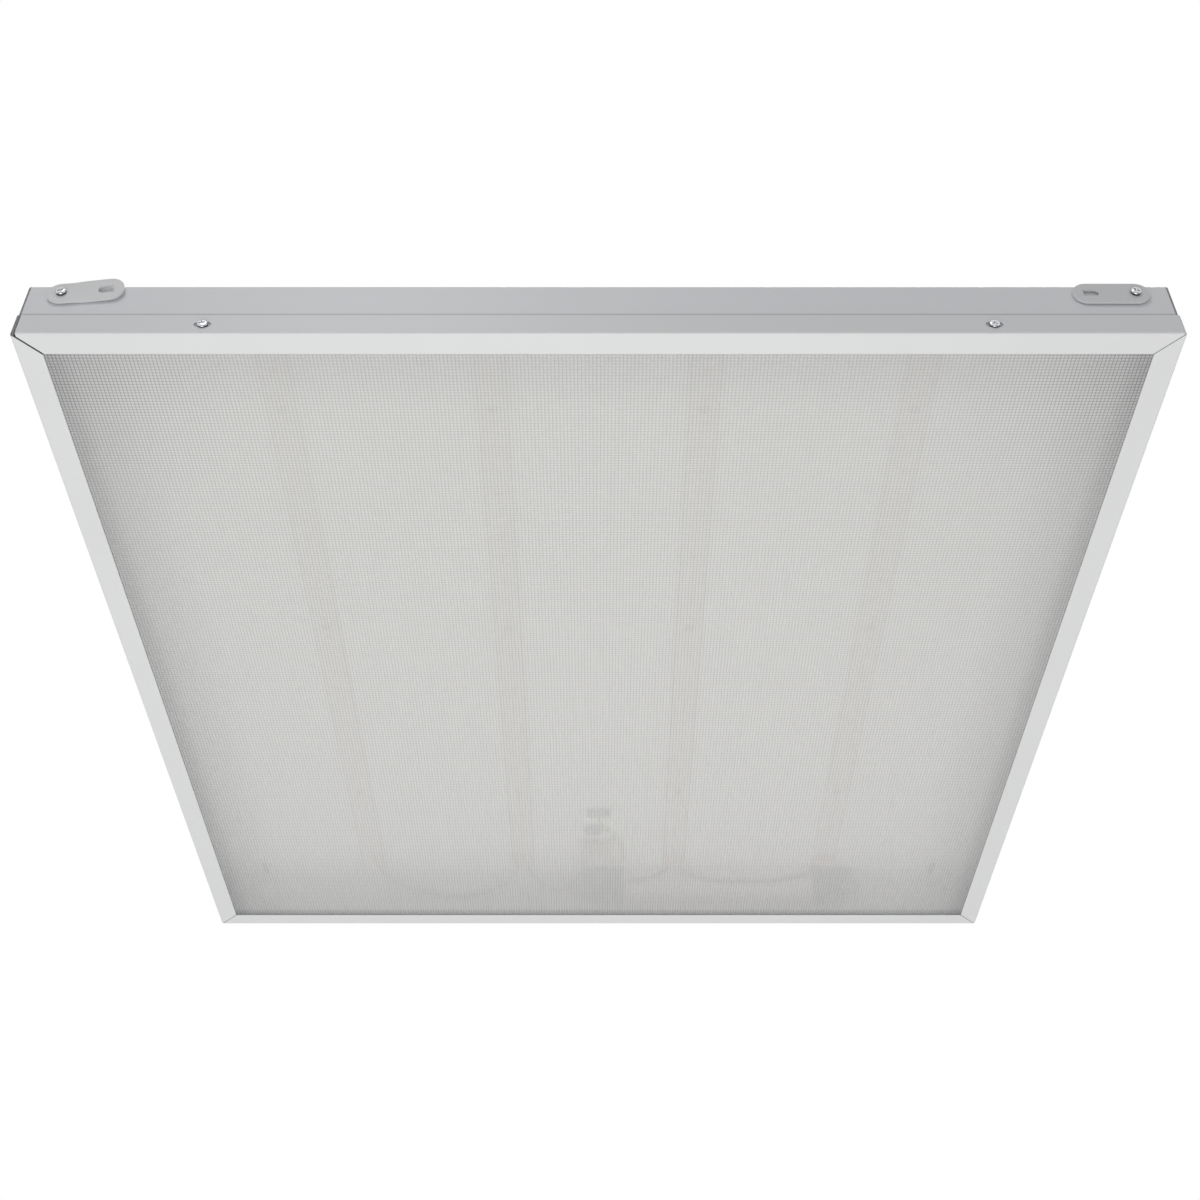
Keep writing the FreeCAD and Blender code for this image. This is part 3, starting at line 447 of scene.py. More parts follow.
def diffuser_colour(tree):
    """The prisms' colour, with painted shade in the valleys between them, most in the near
    corners. The sheet has painted shade towards the walls too, and is painted nearly black
    where it lies on the frame, as shade that shows through the mitres."""
    place = tree.nodes.new("ShaderNodeTexCoord")
    across, axes = reach(tree, place.outputs["Object"])
    corner = math_node(tree, "MULTIPLY",
                       smooth_step(tree, across[0], *CORNER_ACROSS),
                       smooth_step(tree, axes.outputs["Y"], *CORNER_ALONG))
    valley = mix_colour(tree, corner, VALLEY_SHADE_COLOUR, NEAR_CORNER_VALLEY_SHADE)
    tone = mix_colour(tree, prism_valleys(tree, axes), PRISM_COLOUR,
                      valley.outputs["Result"])
    towards = {"near": math_node(tree, "MULTIPLY", axes.outputs["Y"], -1.0),
               "side": across[0], "far": axes.outputs["Y"]}
    # Painted shade towards each wall
    for wall, width, shade in DIFFUSER_WALL_SHADE:
        factor = smooth_step(tree, towards[wall], FRAME_OPENING - width, FRAME_OPENING)
        tone = mix_colour(tree, factor, tone.outputs["Result"], shade)
        tone.blend_type = "MULTIPLY"
    # Painted shade, nearly black, where the sheet lies on the frame; it shows through the mitres
    hidden = smooth_step(tree, math_node(tree, "MAXIMUM", *across),
                         *[FRAME_OPENING + distance for distance in HIDDEN_STRIP])
    tone = mix_colour(tree, hidden, tone.outputs["Result"], UNDER_FRAME_SHADE)
    return tone.outputs["Result"]


def mix_shaders(tree, share, first, second):
    """A mix of two shaders' outputs. The share is a socket or a number."""
    mixed = tree.nodes.new("ShaderNodeMixShader")
    if isinstance(share, float):
        mixed.inputs["Fac"].default_value = share
    else:
        tree.links.new(share, mixed.inputs["Fac"])
    tree.links.new(first, mixed.inputs[1])
    tree.links.new(second, mixed.inputs[2])
    return mixed.outputs["Shader"]


def diffuser_material():
    """Clear acrylic prisms: part of the light goes straight through, part is scattered."""
    material = bpy.data.materials.new("diffuser_acrylic")
    material.use_nodes = True
    tree = material.node_tree
    colour = diffuser_colour(tree)
    body = tree.nodes["Principled BSDF"]
    body.inputs["Roughness"].default_value = DIFFUSER_ROUGHNESS
    glow = tree.nodes.new("ShaderNodeBsdfTranslucent")
    straight = tree.nodes.new("ShaderNodeBsdfTransparent")
    for socket in (body.inputs["Base Color"], glow.inputs["Color"], straight.inputs["Color"]):
        tree.links.new(colour, socket)
    scattering = mix_shaders(tree, GLOW_SHARE, body.outputs["BSDF"], glow.outputs["BSDF"])
    mixed = mix_shaders(tree, CLEAR_SHARE, scattering, straight.outputs["BSDF"])
    tree.links.new(mixed, tree.nodes["Material Output"].inputs["Surface"])
    return material


def clear_material(name, least, most):
    """Clear acrylic with a faint gloss, for the diffuser's flat upper face and its rim. least
    and most are the shares of the light that go straight through."""
    material = bpy.data.materials.new(name)
    material.use_nodes = True
    tree = material.node_tree
    body = tree.nodes["Principled BSDF"]
    body.inputs["Roughness"].default_value = CLEAR_ROUGHNESS
    body.inputs["Base Color"].default_value = CLEAR_COLOUR
    straight = tree.nodes.new("ShaderNodeBsdfTransparent")
    place = tree.nodes.new("ShaderNodeTexCoord")
    haze = noise(tree, place.outputs["Object"], HAZE_SIZE, 2)
    share = tree.nodes.new("ShaderNodeMapRange")
    share.inputs["To Min"].default_value = least
    share.inputs["To Max"].default_value = most
    tree.links.new(haze.outputs["Fac"], share.inputs["Value"])
    mixed = mix_shaders(tree, share.outputs["Result"], body.outputs["BSDF"],
                        straight.outputs["BSDF"])
    tree.links.new(mixed, tree.nodes["Material Output"].inputs["Surface"])
    return material


# Each finish: its colour, its roughness and the other settings of surface
FINISH_SETTINGS = {
    # Its outer faces, the line above the lip and the corner seams carry painted shade.
    # The tray's inside is painted lighter and warmer, as painted light in the chamber.
    "tray_paint": ((0.9, 0.9, 0.885), 0.42, {
        "grain": 1.1, "depth": 0.012, "regions": [((0.8, 0.812, 0.838), outer_faces),
                                                  ((0.56, 0.57, 0.59), lip_shadow),
                                                  ((0.2, 0.2, 0.21), tray_corner_shade)]}),
    # The frame's lip, its mitres and its open corner carry painted shade.
    "frame_paint": ((0.8, 0.805, 0.805), 0.4, {
        "grain": 1.1, "depth": 0.01, "regions": [((0.79, 0.8, 0.82), lip_faces),
                                                 ((0.14, 0.14, 0.145), mitre_shade),
                                                 ((0.16, 0.16, 0.17), open_corner_shade)]}),
    "ear_paint": ((0.8, 0.805, 0.815), 0.38, {"grain": 0.9, "depth": 0.012}),
    # A darker copy of the ears' paint, as painted shade on one ear.
    "ear_paint_dull": ((0.71, 0.715, 0.73), 0.42, {"grain": 0.9, "depth": 0.012}),
    "rivet_aluminium": ((0.4, 0.4, 0.41), 0.4, {"metallic": 1.0, "grain": 0.3}),
    "driver_white": ((0.87, 0.78, 0.74), 0.35, {"grain": 0.7}),
    "driver_cap_black": ((0.03, 0.03, 0.033), 0.5, {"grain": 0.6}),
    "circuit_board": ((0.03, 0.16, 0.06), 0.4, {"grain": 0.8, "mottle": 0.15, "patch": 6}),
    "component_black": ((0.04, 0.04, 0.045), 0.45, {"grain": 0.5}),
    "board_mask": ((0.8, 0.765, 0.735), 0.35, {
        "grain": 0.6, "depth": 0.005, "regions": [((0.74, 0.57, 0.52), board_ends),
                                                  ((0.56, 0.54, 0.52), board_edge_shade)]}),
    "chip_phosphor": ((0.75, 0.5, 0.12), 0.4, {"grain": 0.15, "depth": 0.004, "mottle": 0.08,
                                               "patch": 3}),
    "chip_body": ((0.85, 0.85, 0.84), 0.35, {"grain": 0.3, "depth": 0.003}),
    "connector_white": ((0.7, 0.52, 0.46), 0.35, {"grain": 0.5}),
    "terminal_plastic": ((0.62, 0.5, 0.43), 0.45, {"grain": 0.5, "mottle": 0.08, "patch": 8}),
    "terminal_brass": ((0.7, 0.5, 0.22), 0.3, {"metallic": 1.0, "grain": 0.2}),
    "grommet_rubber": ((0.02, 0.02, 0.02), 0.65, {"grain": 0.4, "depth": 0.02}),
    "lead_black": ((0.09, 0.09, 0.092), 0.4, {"grain": 0.4}),
    "lead_brown": ((0.14, 0.06, 0.03), 0.4, {"grain": 0.4}),
    "lead_blue": ((0.03, 0.12, 0.38), 0.4, {"grain": 0.4}),
    "zinc": ((0.34, 0.33, 0.32), 0.3, {"metallic": 1.0, "grain": 0.25, "mottle": 0.06,
                                       "patch": 2}),
    "screw_steel": ((0.62, 0.64, 0.66), 0.2, {"metallic": 1.0, "grain": 0.2, "depth": 0.004,
                                              "mottle": 0.06, "patch": 2}),
    # Painted shade and a painted dark reflection on the screw heads' rims.
    "screw_rim": ((0.05, 0.05, 0.055), 0.4, {"metallic": 1.0, "grain": 0.2}),
    # Painted shade lining the screws' cross recesses.
    "recess_dark": ((0.04, 0.04, 0.042), 0.5, {"metallic": 1.0, "grain": 0.2}),
}


def make_materials():
    """Every finish by its name."""
    finishes = {name: surface(name, colour, roughness, **settings)
                for name, (colour, roughness, settings) in FINISH_SETTINGS.items()}
    finishes["lead_green_yellow"] = striped("lead_green_yellow", (0.05, 0.3, 0.06),
                                            (0.75, 0.65, 0.05))
    finishes["clear"] = clear_material("diffuser_clear", 0.94, 0.97)
    finishes["join"] = clear_material("diffuser_join", 1.0, 1.0)
    finishes["diffuser_plastic"] = diffuser_material()
    return finishes


def striped(name, first, second):
    """Insulation in two colours, in bands along the wire."""
    material = surface(name, first, 0.4, grain=0.4)
    tree = material.node_tree
    place = tree.nodes.new("ShaderNodeTexCoord")
    wave = tree.nodes.new("ShaderNodeTexWave")
    wave.bands_direction = "DIAGONAL"
    wave.inputs["Scale"].default_value = STRIPE_SCALE
    tree.links.new(place.outputs["Object"], wave.inputs["Vector"])
    ramp = tree.nodes.new("ShaderNodeValToRGB")
    ramp.color_ramp.interpolation = "CONSTANT"
    ramp.color_ramp.elements[0].color = (*first, 1)
    ramp.color_ramp.elements[1].color = (*second, 1)
    ramp.color_ramp.elements[1].position = 0.5
    tree.links.new(wave.outputs["Fac"], ramp.inputs["Fac"])
    tree.links.new(ramp.outputs["Color"], tree.nodes["Principled BSDF"].inputs["Base Color"])
    return material


# ---- Building blocks ----------------------------------------------------------------------

def add_piece(name, mesh, finish, body, place=None, smooth=30):
    """A new piece with its finish and its body. smooth is the angle below which edges are
    shaded round."""
    piece = bpy.data.objects.new(name, mesh)
    bpy.context.scene.collection.objects.link(piece)
    if place is not None:
        piece.matrix_world = place
    if not mesh.materials:
        mesh.materials.append(FINISHES[finish])
    if smooth:
        shade_smooth(mesh, smooth)
    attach(piece, body)
    return piece


def shade_smooth(mesh, angle):
    mesh.shade_smooth()
    mesh.set_sharp_from_angle(angle=math.radians(angle))


def mesh_from(name, vertices, faces):
    mesh = bpy.data.meshes.new(name)
    mesh.from_pydata(vertices, [], faces)
    mesh.update()
    return mesh


def lathe(name, profile, steps=32):
    """A closed turned mesh about Z from radius and height pairs, whose ends lie on the axis or
    which closes on itself."""
    solid = bmesh.new()
    rings = []
    for radius, height in profile:
        if radius < TINY:
            rings.append([solid.verts.new((0, 0, height))] * steps)
            continue
        turn = 2 * math.pi / steps
        rings.append([solid.verts.new((radius * math.cos(turn * index),
                                       radius * math.sin(turn * index), height))
                      for index in range(steps)])
    on_axis = profile[0][0] < TINY
    pairs = list(zip(rings, rings[1:])) if on_axis else list(zip(rings, rings[1:] + rings[:1]))
    for lower, upper in pairs:
        for index in range(steps):
            after = (index + 1) % steps
            corners = []
            for vertex in (lower[index], lower[after], upper[after], upper[index]):
                if vertex not in corners:
                    corners.append(vertex)
            solid.faces.new(corners)
    bmesh.ops.recalc_face_normals(solid, faces=solid.faces)
    mesh = bpy.data.meshes.new(name)
    solid.to_mesh(mesh)
    solid.free()
    return mesh


def baked(source, name):
    """The mesh that an object's modifiers or curve settings give, and the object removed."""
    bpy.context.view_layer.update()
    seen = source.evaluated_get(bpy.context.evaluated_depsgraph_get())
    mesh = bpy.data.meshes.new_from_object(seen)
    mesh.name = name
    bpy.data.objects.remove(source)
    return mesh


def loose_object(name, data):
    item = bpy.data.objects.new(name, data)
    bpy.context.scene.collection.objects.link(item)
    return item


def cut_mesh(mesh, tools, name):
    """A mesh less the tool meshes, whose own faces line the cut."""
    target = loose_object(name, mesh)
    helpers = [loose_object(name + "_tool", tool) for tool in tools]
    for helper in helpers:
        cut = target.modifiers.new("cut", "BOOLEAN")
        cut.operation = "DIFFERENCE"
        cut.solver = "EXACT"
        cut.object = helper
    result = baked(target, name)
    for helper in helpers:
        bpy.data.objects.remove(helper)
    return result


def wall_place(side, x, z, distance):
    """Where a piece stands on a wall: its X goes right along it, its Y up, its Z outwards."""
    turn = Matrix.Rotation(math.radians(90 * SIDES.index(side)), 4, "Z")
    return (turn @ Matrix.Translation((x, -distance, z))
            @ Matrix.Rotation(math.radians(90), 4, "X"))


def hanging_place(x, y, z):
    """Where a piece sits on a face that looks down: its Z goes to the floor."""
    return Matrix.Translation((x, y, z)) @ Matrix.Rotation(math.radians(180), 4, "X")


# ---- Diffuser -----------------------------------------------------------------------------

def sheet_side(axis):
    return getattr(DIFFUSER_HIGH, axis.lower()) - getattr(DIFFUSER_LOW, axis.lower())


def prism_count(axis):
    return round(sheet_side(axis) / PRISM_PITCH)


def prism_size(axis):
    return sheet_side(axis) / prism_count(axis)


def prism_sheet(name, first_row, last_row):
    """Rows of small pyramids that point down, under a flat top: one closed solid. All but the
    pyramids is clear."""
    low, high = DIFFUSER_LOW, DIFFUSER_HIGH
    columns = prism_count("X")
    width, length = prism_size("X"), prism_size("Y")
    count = last_row - first_row
    start = low.y + length * first_row
    end = low.y + length * last_row
    valley_z = low.z + PRISM_DEPTH
    vertices = [(low.x + width * column, start + length * row, valley_z)
                for row in range(count + 1) for column in range(columns + 1)]
    tips_start = len(vertices)
    vertices += [(low.x + width * (column + 0.5), start + length * (row + 0.5), low.z)
                 for row in range(count) for column in range(columns)]
    faces = []
    for row in range(count):
        for column in range(columns):
            corner = row * (columns + 1) + column
            above = corner + columns + 1
            tip = tips_start + row * columns + column
            faces += [(corner + 1, corner, tip), (above + 1, corner + 1, tip),
                      (above, above + 1, tip), (corner, above, tip)]
    prism_faces = len(faces)
    top = len(vertices)
    vertices += [(low.x, start, high.z), (high.x, start, high.z),
                 (high.x, end, high.z), (low.x, end, high.z)]
    faces.append((top, top + 1, top + 2, top + 3))
    last_corners = count * (columns + 1)
    near = list(range(columns + 1))
    far = [last_corners + column for column in near]
    left = [row * (columns + 1) for row in range(count + 1)]
    right = [corner + columns for corner in left]
    faces.append(near + [top + 1, top])
    faces.append(right + [top + 2, top + 1])
    faces.append(far[::-1] + [top + 3, top + 2])
    faces.append(left[::-1] + [top, top + 3])
    mesh = mesh_from(name, vertices, faces)
    mesh.materials.append(FINISHES["diffuser_plastic"])
    mesh.materials.append(FINISHES["clear"])
    mesh.materials.append(FINISHES["join"])
    for polygon in mesh.polygons[prism_faces:]:
        inner = abs(polygon.normal.y) > 0.9 and abs(polygon.center.y) < abs(low.y) / 2
        polygon.material_index = JOIN_SLOT if inner else CLEAR_SLOT
    return mesh


def make_diffuser():
    """The one prismatic sheet, kept as two halves only so that neither mesh is too large."""
    rows = prism_count("Y")
    for name, first_row, last_row in (("diffuser_prisms_near", 0, rows // 2),
                                      ("diffuser_prisms_far", rows // 2, rows)):
        piece = add_piece(name, prism_sheet(name, first_row, last_row), "diffuser_plastic",
                          HOUSING, smooth=0)
        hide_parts("diffuser")


# ---- Screws -------------------------------------------------------------------------------

def turned(place, angle):
    """A place turned about its own Z."""
    return place @ Matrix.Rotation(math.radians(angle), 4, "Z")


def cross_tools(radius, width, top, depth):
    """Two crossing tapered blades that cut a screw's cross recess, lined with painted shade."""
    tools = []
    for turn in (0, 90):
        rows = []
        for height, half in ((top - depth, radius * BLADE_LOW),
                             (top + depth, radius * BLADE_HIGH)):
            rows += [(-half, -width / 2, height), (half, -width / 2, height),
                     (half, width / 2, height), (-half, width / 2, height)]
        faces = [(3, 2, 1, 0), (4, 5, 6, 7), (0, 1, 5, 4), (1, 2, 6, 5), (2, 3, 7, 6),
                 (3, 0, 4, 7)]
        mesh = mesh_from("blade", rows, faces)
        mesh.transform(Matrix.Rotation(math.radians(turn), 4, "Z"))
        mesh.materials.append(FINISHES["recess_dark"])
        tools.append(mesh)
    return tools


def screw_mesh(name, sizes, finish="screw_steel"):
    """A pan head with a domed top, a rim painted dark as painted shade and a painted dark
    reflection, and a cross recess, on a ribbed shank. The recess keeps to the head."""
    head_radius, head_height, shank_radius, length = [size * MM for size in sizes]
    profile = [(0, -length), (shank_radius * POINT_RADIUS, -length + shank_radius * POINT_LENGTH)]
    pitch = shank_radius * THREAD_PITCH
    for index in range(int((length - shank_radius) / pitch)):
        low = -length + shank_radius + pitch * index
        profile += [(shank_radius * THREAD_ROOT, low), (shank_radius, low + pitch / 2)]
    profile += [(shank_radius * NECK, 0), (head_radius * UNDERSIDE, 0),
                (head_radius, head_height * RIM_EDGE)]
    for angle in range(15, 91, 15):
        out, up = math.cos(math.radians(angle)), math.sin(math.radians(angle))
        profile.append((head_radius * (DOME_FLAT + (1 - DOME_FLAT) * out),
                        head_height * (DOME_START + (1 - DOME_START) * up)))
    profile.append((0, head_height))
    mesh = lathe(name, profile)
    mesh.materials.append(FINISHES[finish])
    mesh.materials.append(FINISHES["screw_rim"])
    # The head's underside and lower rim get painted shade and a painted dark reflection.
    for polygon in mesh.polygons:
        middle = polygon.center
        if (-TINY < middle.z < head_height * RIM_SHADE_HEIGHT
                and math.hypot(middle.x, middle.y) > shank_radius):
            polygon.material_index = 1
    return cut_mesh(mesh, cross_tools(head_radius * RECESS_RADIUS, head_radius * RECESS_WIDTH,
                                      head_height, head_height * RECESS_DEPTH), name)


def make_frame_screws():
    """Two screws in the slots of each side's lip."""
    mesh = screw_mesh("frame_screw", SCREW_SIZES["frame_screw"])
    low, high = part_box("frame_screws_near")
    height = (low.z + high.z) / 2
    offset = high.x - SCREW_SIZES["frame_screw"][0] * MM
    for side in SIDES:
        node = "frame_screws_" + side
        for number, x in enumerate((-offset, offset)):
            place = turned(wall_place(side, x, height, FRAME_HIGH.x), SCREW_TURNS[node][number])
            piece = add_piece("frame_screw_" + side + "_" + str(number + 1), mesh,
                              "screw_steel", HOUSING, place=place)
            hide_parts(node)


def make_ear_screws():
    """Each ear's pivot screw."""
    mesh = screw_mesh("ear_screw", SCREW_SIZES["ear_screw"])
    head_height = SCREW_SIZES["ear_screw"][1] * MM
    for corner in EAR_CORNERS:
        node = "ear_screw_" + corner
        side = corner.split("_")[0]
        low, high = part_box(node)
        x = (low.x + high.x) / 2
        local_x = x if side == "near" else -x
        seat = max(abs(low.y), abs(high.y)) - head_height
        place = turned(wall_place(side, local_x, (low.z + high.z) / 2, seat), SCREW_TURNS[node])
        piece = add_piece(node + "_cross", mesh, "screw_steel", HOUSING, place=place)
        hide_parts(node)


def make_inner_screws():
    """The driver's tab screws and the earth clamp's screws."""
    for node in ("driver_screws", "earth_screws"):
        mesh = screw_mesh(node, SCREW_SIZES[node], "zinc")
        head_radius, head_height = [size * MM for size in SCREW_SIZES[node][:2]]
        low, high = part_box(node)
        y = (low.y + high.y) / 2
        for number, x in enumerate((low.x + head_radius, high.x - head_radius)):
            place = turned(hanging_place(x, y, low.z + head_height), SCREW_TURNS[node])
            piece = add_piece(node[:-1] + "_" + str(number + 1), mesh, "zinc", HOUSING,
                              place=place)
            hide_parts(node)


# ---- Ears ---------------------------------------------------------------------------------

def plate_mesh(name, outlines, sheet, edge):
    """A flat plate from closed outlines, the first its rim and the others its holes, with
    rounded edges. It lies on Z = 0."""
    curve = bpy.data.curves.new(name, "CURVE")
    curve.dimensions = "2D"
    curve.fill_mode = "BOTH"
    curve.extrude = sheet / 2 - edge
    curve.bevel_depth = edge
    curve.bevel_resolution = 2
    curve.offset = -edge
    for outline in outlines:
        spline = curve.splines.new("POLY")
        spline.points.add(len(outline) - 1)
        for point, (x, y) in zip(spline.points, outline):
            point.co = (x, y, 0, 1)
        spline.use_cyclic_u = True
    mesh = baked(loose_object(name, curve), name)
    mesh.transform(Matrix.Translation((0, 0, sheet / 2)))
    return mesh


def obround_outline(length, width):
    """Points round an obround along X, whose left end's centre is the origin."""
    radius = width / 2
    arm = length - width
    points = []
    for end, first in ((arm, -math.pi / 2), (0.0, math.pi / 2)):
        for index in range(ROUND_STEPS // 2 + 1):
            angle = first + 2 * math.pi * index / ROUND_STEPS
            points.append((end + radius * math.cos(angle), radius * math.sin(angle)))
    return points


def slot_outline():
    """The D-shaped slot: its flat end is the one away from the pivot."""
    radius = EAR_SLOT_WIDTH / 2
    flat = EAR_SLOT_DISTANCE + EAR_SLOT_LENGTH / 2
    centre = EAR_SLOT_DISTANCE - EAR_SLOT_LENGTH / 2 + radius
    points = [(flat, -radius), (flat, radius)]
    for index in range(ROUND_STEPS // 2 + 1):
        angle = math.pi / 2 + 2 * math.pi * index / ROUND_STEPS
        points.append((centre + radius * math.cos(angle), radius * math.sin(angle)))
    return points


def circle_outline(radius):
    return [(radius * math.cos(2 * math.pi * index / ROUND_STEPS),
             radius * math.sin(2 * math.pi * index / ROUND_STEPS))
            for index in range(ROUND_STEPS)]


def crease(mesh, bend, twist):
    """Bends the arm of an ear away from the wall, and twists it so that its upper edge
    goes outwards. Both angles are in radians."""
    start = EAR_CREASE - EAR_CREASE_LENGTH / 2
    end = EAR_CREASE + EAR_CREASE_LENGTH / 2
    work = bmesh.new()
    work.from_mesh(mesh)
    for index in range(CREASE_CUTS + 1):
        x = start + (end - start) * index / CREASE_CUTS
        bmesh.ops.bisect_plane(work, geom=work.verts[:] + work.edges[:] + work.faces[:],
                               plane_co=(x, 0, 0), plane_no=(1, 0, 0))
    radius = EAR_CREASE_LENGTH / bend
    for vertex in work.verts:
        along = vertex.co.x - start
        if along <= 0:
            continue
        roll = min(along / EAR_CREASE_LENGTH, 1) * twist
        vertex.co = (vertex.co.x, vertex.co.y * math.cos(roll) - vertex.co.z * math.sin(roll),
                     vertex.co.y * math.sin(roll) + vertex.co.z * math.cos(roll))
        angle = min(along / EAR_CREASE_LENGTH, 1) * bend
        rest = max(along - EAR_CREASE_LENGTH, 0)
        height = vertex.co.z
        vertex.co.x = (start + math.sin(angle) * (radius - height)
                       + rest * math.cos(angle))
        vertex.co.z = (radius - (radius - height) * math.cos(angle)
                       + rest * math.sin(angle))
    work.to_mesh(mesh)
    work.free()


def make_ears():
    """Each ear hangs on its pivot screw. Left ears point right, and right ones left."""
    for joint in frame["joints"]:
        node = joint["name"].replace("_pivot", "")
        pivot = Vector(joint["pos_m"])
        mesh = plate_mesh(node + "_plate", [obround_outline(EAR_LENGTH, EAR_WIDTH),
                                            slot_outline(), circle_outline(EAR_HOLE_RADIUS)],
                          EAR_SHEET, EAR_EDGE)
        if node in EAR_BEND:
            crease(mesh, math.radians(EAR_BEND[node]), math.radians(EAR_TWIST[node]))
        side = "near" if pivot.y < 0 else "far"
        local_x = pivot.x if side == "near" else -pivot.x
        lift = EAR_LIFT.get(node, 0.0)
        turn = lift if local_x < 0 else 180 - lift
        low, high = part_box(node)
        inner = min(abs(low.y), abs(high.y))
        place = wall_place(side, local_x, pivot.z, inner)
        mesh.transform(Matrix.Rotation(math.radians(turn), 4, "Z"))
        finish = "ear_paint_dull" if node == SHADED_EAR else "ear_paint"
        piece = add_piece(node + "_plate", mesh, finish, joint["child"], place)
        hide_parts(node)


# ---- Wires --------------------------------------------------------------------------------

# Where the wires leave the boards' connectors, and all routes, in millimetres
PLUG_Y, PLUG_Z = 266.5, 35.1
BOARD_1_RIGHT = -173.85
BOARD_2_LEFT = -62.75
BOARD_2_RIGHT = -55.55
BOARD_3_LEFT = 55.55
BOARD_3_RIGHT = 62.75
BOARD_4_LEFT = 173.85
BOARD_4_RIGHT = 181.05

LEAD_ROUTES = {
    "link_lead_1_2": ("lead_black", LINK_LEAD, [
        (BOARD_1_RIGHT, PLUG_Y, PLUG_Z), (BOARD_1_RIGHT, 275, PLUG_Z), (-162, 285, 30),
        (-138, 291.5, 23), (-100, 293.4, 21), (-76, 285, 27), (BOARD_2_LEFT, 275, PLUG_Z),
        (BOARD_2_LEFT, PLUG_Y, PLUG_Z)]),
    "link_lead_2_3": ("lead_black", LINK_LEAD, [
        (BOARD_2_RIGHT, PLUG_Y, PLUG_Z), (BOARD_2_RIGHT, 275, PLUG_Z), (-46, 284, 29),
        (-31, 288, 24), (-19, 279, 23.2), (-7, 273.9, 23.6), (20, 273.7, 24.4),
        (38, 273.9, 26.8), (49, 273.2, 31.2), (BOARD_3_LEFT, 270.5, PLUG_Z),
        (BOARD_3_LEFT, PLUG_Y, PLUG_Z)]),
    "link_lead_3_4": ("lead_black", LINK_LEAD, [
        (BOARD_3_RIGHT, PLUG_Y, PLUG_Z), (BOARD_3_RIGHT, 270.5, PLUG_Z), (69, 273.2, 31.5),
        (85, 273.9, 25.8), (116, 273.7, 24), (149, 273.9, 26), (166, 273.3, 31.2),
        (BOARD_4_LEFT, 270.5, PLUG_Z), (BOARD_4_LEFT, PLUG_Y, PLUG_Z)]),
    "driver_output_lead": ("lead_black", LINK_LEAD, [
        (BOARD_4_RIGHT, PLUG_Y, PLUG_Z), (BOARD_4_RIGHT, 270.5, PLUG_Z), (187.5, 273, 31.5),
        (203, 274.5, 24.5), (207.6, 282.5, 23.5), (203, 290.5, 23.5), (194, 290.5, 23.5)]),
    "supply_lead_live": ("lead_brown", SUPPLY_LEAD, [
        (-10, 250, 34.5), (-10, 256.5, 34.5), (-15.5, 268, 25), (-24.5, 280, 20.8),
        (-17, 291.5, 20.5), (-5, 291.5, 20.5)]),
    "supply_lead_neutral": ("lead_blue", SUPPLY_LEAD, [
        (-2, 250, 34.5), (-2, 256.5, 34.5), (-5.5, 267, 24.5), (-18.5, 277, 20.5),
        (-14.5, 286.5, 20.5), (-5, 286.5, 20.5)]),
    "earth_lead": ("lead_green_yellow", SUPPLY_LEAD, [
        (6, 250, 34.5), (6, 258.5, 34.5), (12.9, 262.2, 33.8), (19.8, 258, 33.2),
        (18.8, 240, 33.2), (10, 222, 35), (0, 211.5, 37.3), (0, 200.5, 37.3)]),
}


def make_leads():
    """Round insulated wires on smooth routes, for the faceted solids."""
    for name, (finish, diameter, route) in LEAD_ROUTES.items():
        curve = bpy.data.curves.new(name, "CURVE")
        curve.dimensions = "3D"
        curve.bevel_depth = diameter / 2
        curve.bevel_resolution = 4
        curve.use_fill_caps = True
        curve.resolution_u = 10
        spline = curve.splines.new("NURBS")
        spline.points.add(len(route) - 1)
        for point, place in zip(spline.points, route):
            point.co = (*[value * MM for value in place], 1)
        spline.order_u = 3
        spline.use_endpoint_u = True
        mesh = baked(loose_object(name, curve), name)
        piece = add_piece(name, mesh, finish, HOUSING, smooth=60)
        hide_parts("internal_leads")


# ---- Grommet, rivets and LED packages -----------------------------------------------------

def rolled_edge(rim, middle):
    """The half-round edge of a grommet's flange, from its underside up."""
    radius = GROMMET_FLANGE / 2
    return [(rim - radius + radius * math.sin(math.radians(angle)),
             middle - radius * math.cos(math.radians(angle))) for angle in range(0, 181, 30)]


def make_grommet():
    """A moulded grommet with rounded flanges either side of the tray's back."""
    low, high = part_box("cable_grommet")
    rim = (high.x - low.x) / 2
    height = high.z - low.z
    mouth = GROMMET_BORE + GROMMET_BEVEL
    profile = [(mouth, 0)] + rolled_edge(rim, GROMMET_FLANGE / 2)
    profile += [(GROMMET_NECK, GROMMET_FLANGE), (GROMMET_NECK, height - GROMMET_FLANGE)]
    profile += rolled_edge(rim, height - GROMMET_FLANGE / 2)
    profile += [(mouth, height), (GROMMET_BORE, height - GROMMET_BEVEL),
                (GROMMET_BORE, GROMMET_BEVEL)]
    place = Matrix.Translation(((low.x + high.x) / 2, (low.y + high.y) / 2, low.z))
    name = "cable_grommet_moulded"
    piece = add_piece(name, lathe(name, profile, 40), "grommet_rubber", HOUSING, place=place,
                      smooth=40)
    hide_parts("cable_grommet")


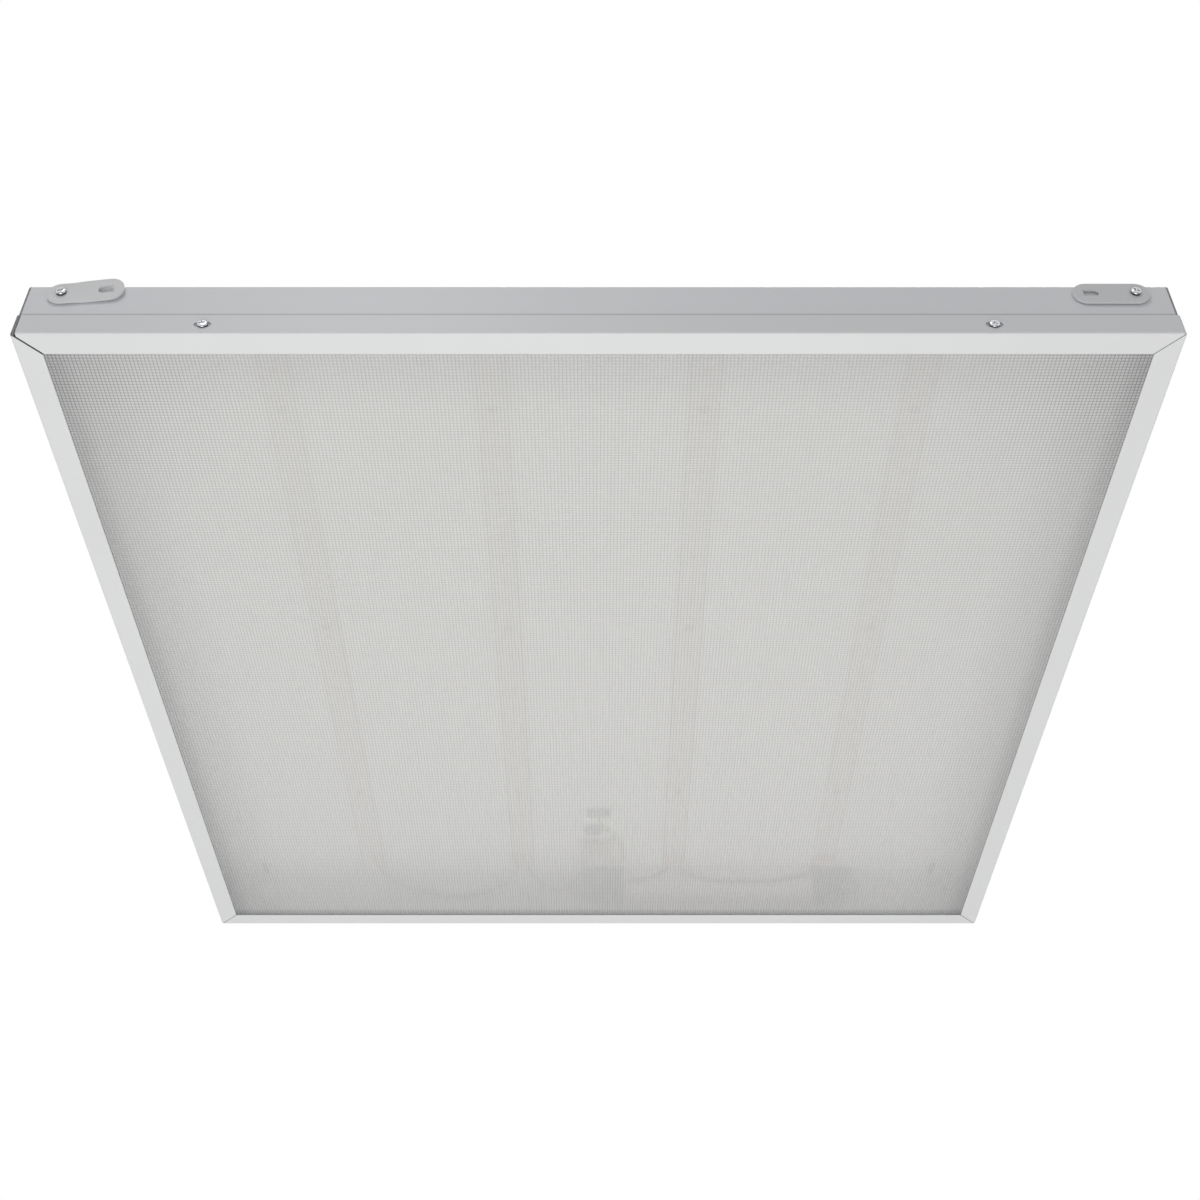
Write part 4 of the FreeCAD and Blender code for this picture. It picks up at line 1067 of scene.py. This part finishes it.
def make_rivets():
    """Blind rivets with domed heads below the boards and formed tails behind the back."""
    low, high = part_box("board_rivets")
    length = high.z - low.z
    profile = [(radius * MM, height * MM) for radius, height in RIVET_PIT]
    for angle in range(20, 91, 10):
        radius = RIVET_HEAD_RADIUS * math.sin(math.radians(angle))
        drop = RIVET_HEAD_HEIGHT * (1 - math.cos(math.radians(angle))) * RIVET_DOME
        profile.append((radius if angle > 20 else RIVET_CROWN, drop))
    profile += [(RIVET_HEAD_RADIUS, RIVET_HEAD_HEIGHT), (RIVET_SHANK, RIVET_HEAD_HEIGHT),
                (RIVET_SHANK, length - RIVET_TAIL),
                (RIVET_SHANK * RIVET_TAPER[0], length - RIVET_TAIL_EDGE),
                (RIVET_SHANK * RIVET_TAPER[1], length), (0, length)]
    mesh = lathe("board_rivet", profile)
    for board, x in enumerate(BOARD_MIDDLES, 1):
        for number in range(RIVET_COUNT):
            place = Matrix.Translation((x, RIVET_FIRST + RIVET_PITCH * number, low.z))
            piece = add_piece("board_rivet_" + str(board) + "_" + str(number + 1), mesh,
                              "rivet_aluminium", HOUSING, place=place, smooth=50)
            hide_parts("board_rivets")


def chip_rings(height):
    """Half length, half width and height of the rings of one LED package: its body, its rim
    and the phosphor's sunk window."""
    insets = ((0, 0), (0, height - CHIP_BEVEL), (CHIP_BEVEL, height), (CHIP_RIM, height),
              (CHIP_RIM + CHIP_SUNK, height - CHIP_SUNK))
    return [(CHIP_LENGTH / 2 - inset, CHIP_WIDTH / 2 - inset, level) for inset, level in insets]


def make_chips():
    """One row of packages a board, hanging from its face, each with a yellow window."""
    for board in range(1, 5):
        node = "led_chips_" + str(board)
        low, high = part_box(node)
        count = round((high.y - low.y - CHIP_WIDTH) / CHIP_PITCH) + 1
        x = (low.x + high.x) / 2
        rings = chip_rings(high.z - low.z)
        vertices, faces, windows = [], [], []
        for index in range(count):
            y = low.y + CHIP_WIDTH / 2 + CHIP_PITCH * index
            start = len(vertices)
            for half_x, half_y, drop in rings:
                vertices += [(x - half_x, y - half_y, high.z - drop),
                             (x + half_x, y - half_y, high.z - drop),
                             (x + half_x, y + half_y, high.z - drop),
                             (x - half_x, y + half_y, high.z - drop)]
            faces.append((start, start + 1, start + 2, start + 3))
            for ring in range(len(rings) - 1):
                base = start + 4 * ring
                for corner in range(4):
                    after = (corner + 1) % 4
                    faces.append((base + corner, base + 4 + corner, base + 4 + after,
                                  base + after))
            windows.append(len(faces))
            last = start + 4 * (len(rings) - 1)
            faces.append((last + 3, last + 2, last + 1, last))
        mesh = mesh_from(node + "_packages", vertices, faces)
        mesh.materials.append(FINISHES["chip_body"])
        mesh.materials.append(FINISHES["chip_phosphor"])
        for window in windows:
            mesh.polygons[window].material_index = 1
        piece = add_piece(node + "_packages", mesh, "chip_body", HOUSING,
                          smooth=0)
        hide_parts(node)


# ---- CAD nodes that stay ------------------------------------------------------------------

def dress_nodes():
    """Gives each CAD node the finish of its record slot, and soft edges to moulded ones."""
    slots = {part["node"]: part["material_slot"] for part in frame["record"]["subparts"]}
    stand_in = {"lead_insulation": "lead_black"}
    for name, node in frame["nodes"].items():
        finish = FINISHES[stand_in.get(slots[name], slots[name])]
        node.data.materials.clear()
        node.data.materials.append(finish)
    for name, width in EDGE_WIDTHS.items():
        edge = frame["nodes"][name].modifiers.new("edge", "BEVEL")
        edge.width = width * MM
        edge.segments = EDGE_SEGMENTS
        edge.limit_method = "ANGLE"
        edge.angle_limit = math.radians(EDGE_ANGLE)


FINISHES = make_materials()
make_camera()
make_lamps()
make_world()
make_floor()
dress_nodes()
make_diffuser()
make_frame_screws()
make_ear_screws()
make_inner_screws()
make_ears()
make_leads()
make_grommet()
make_rivets()
make_chips()

bpy.context.scene.view_settings.view_transform = "Standard"
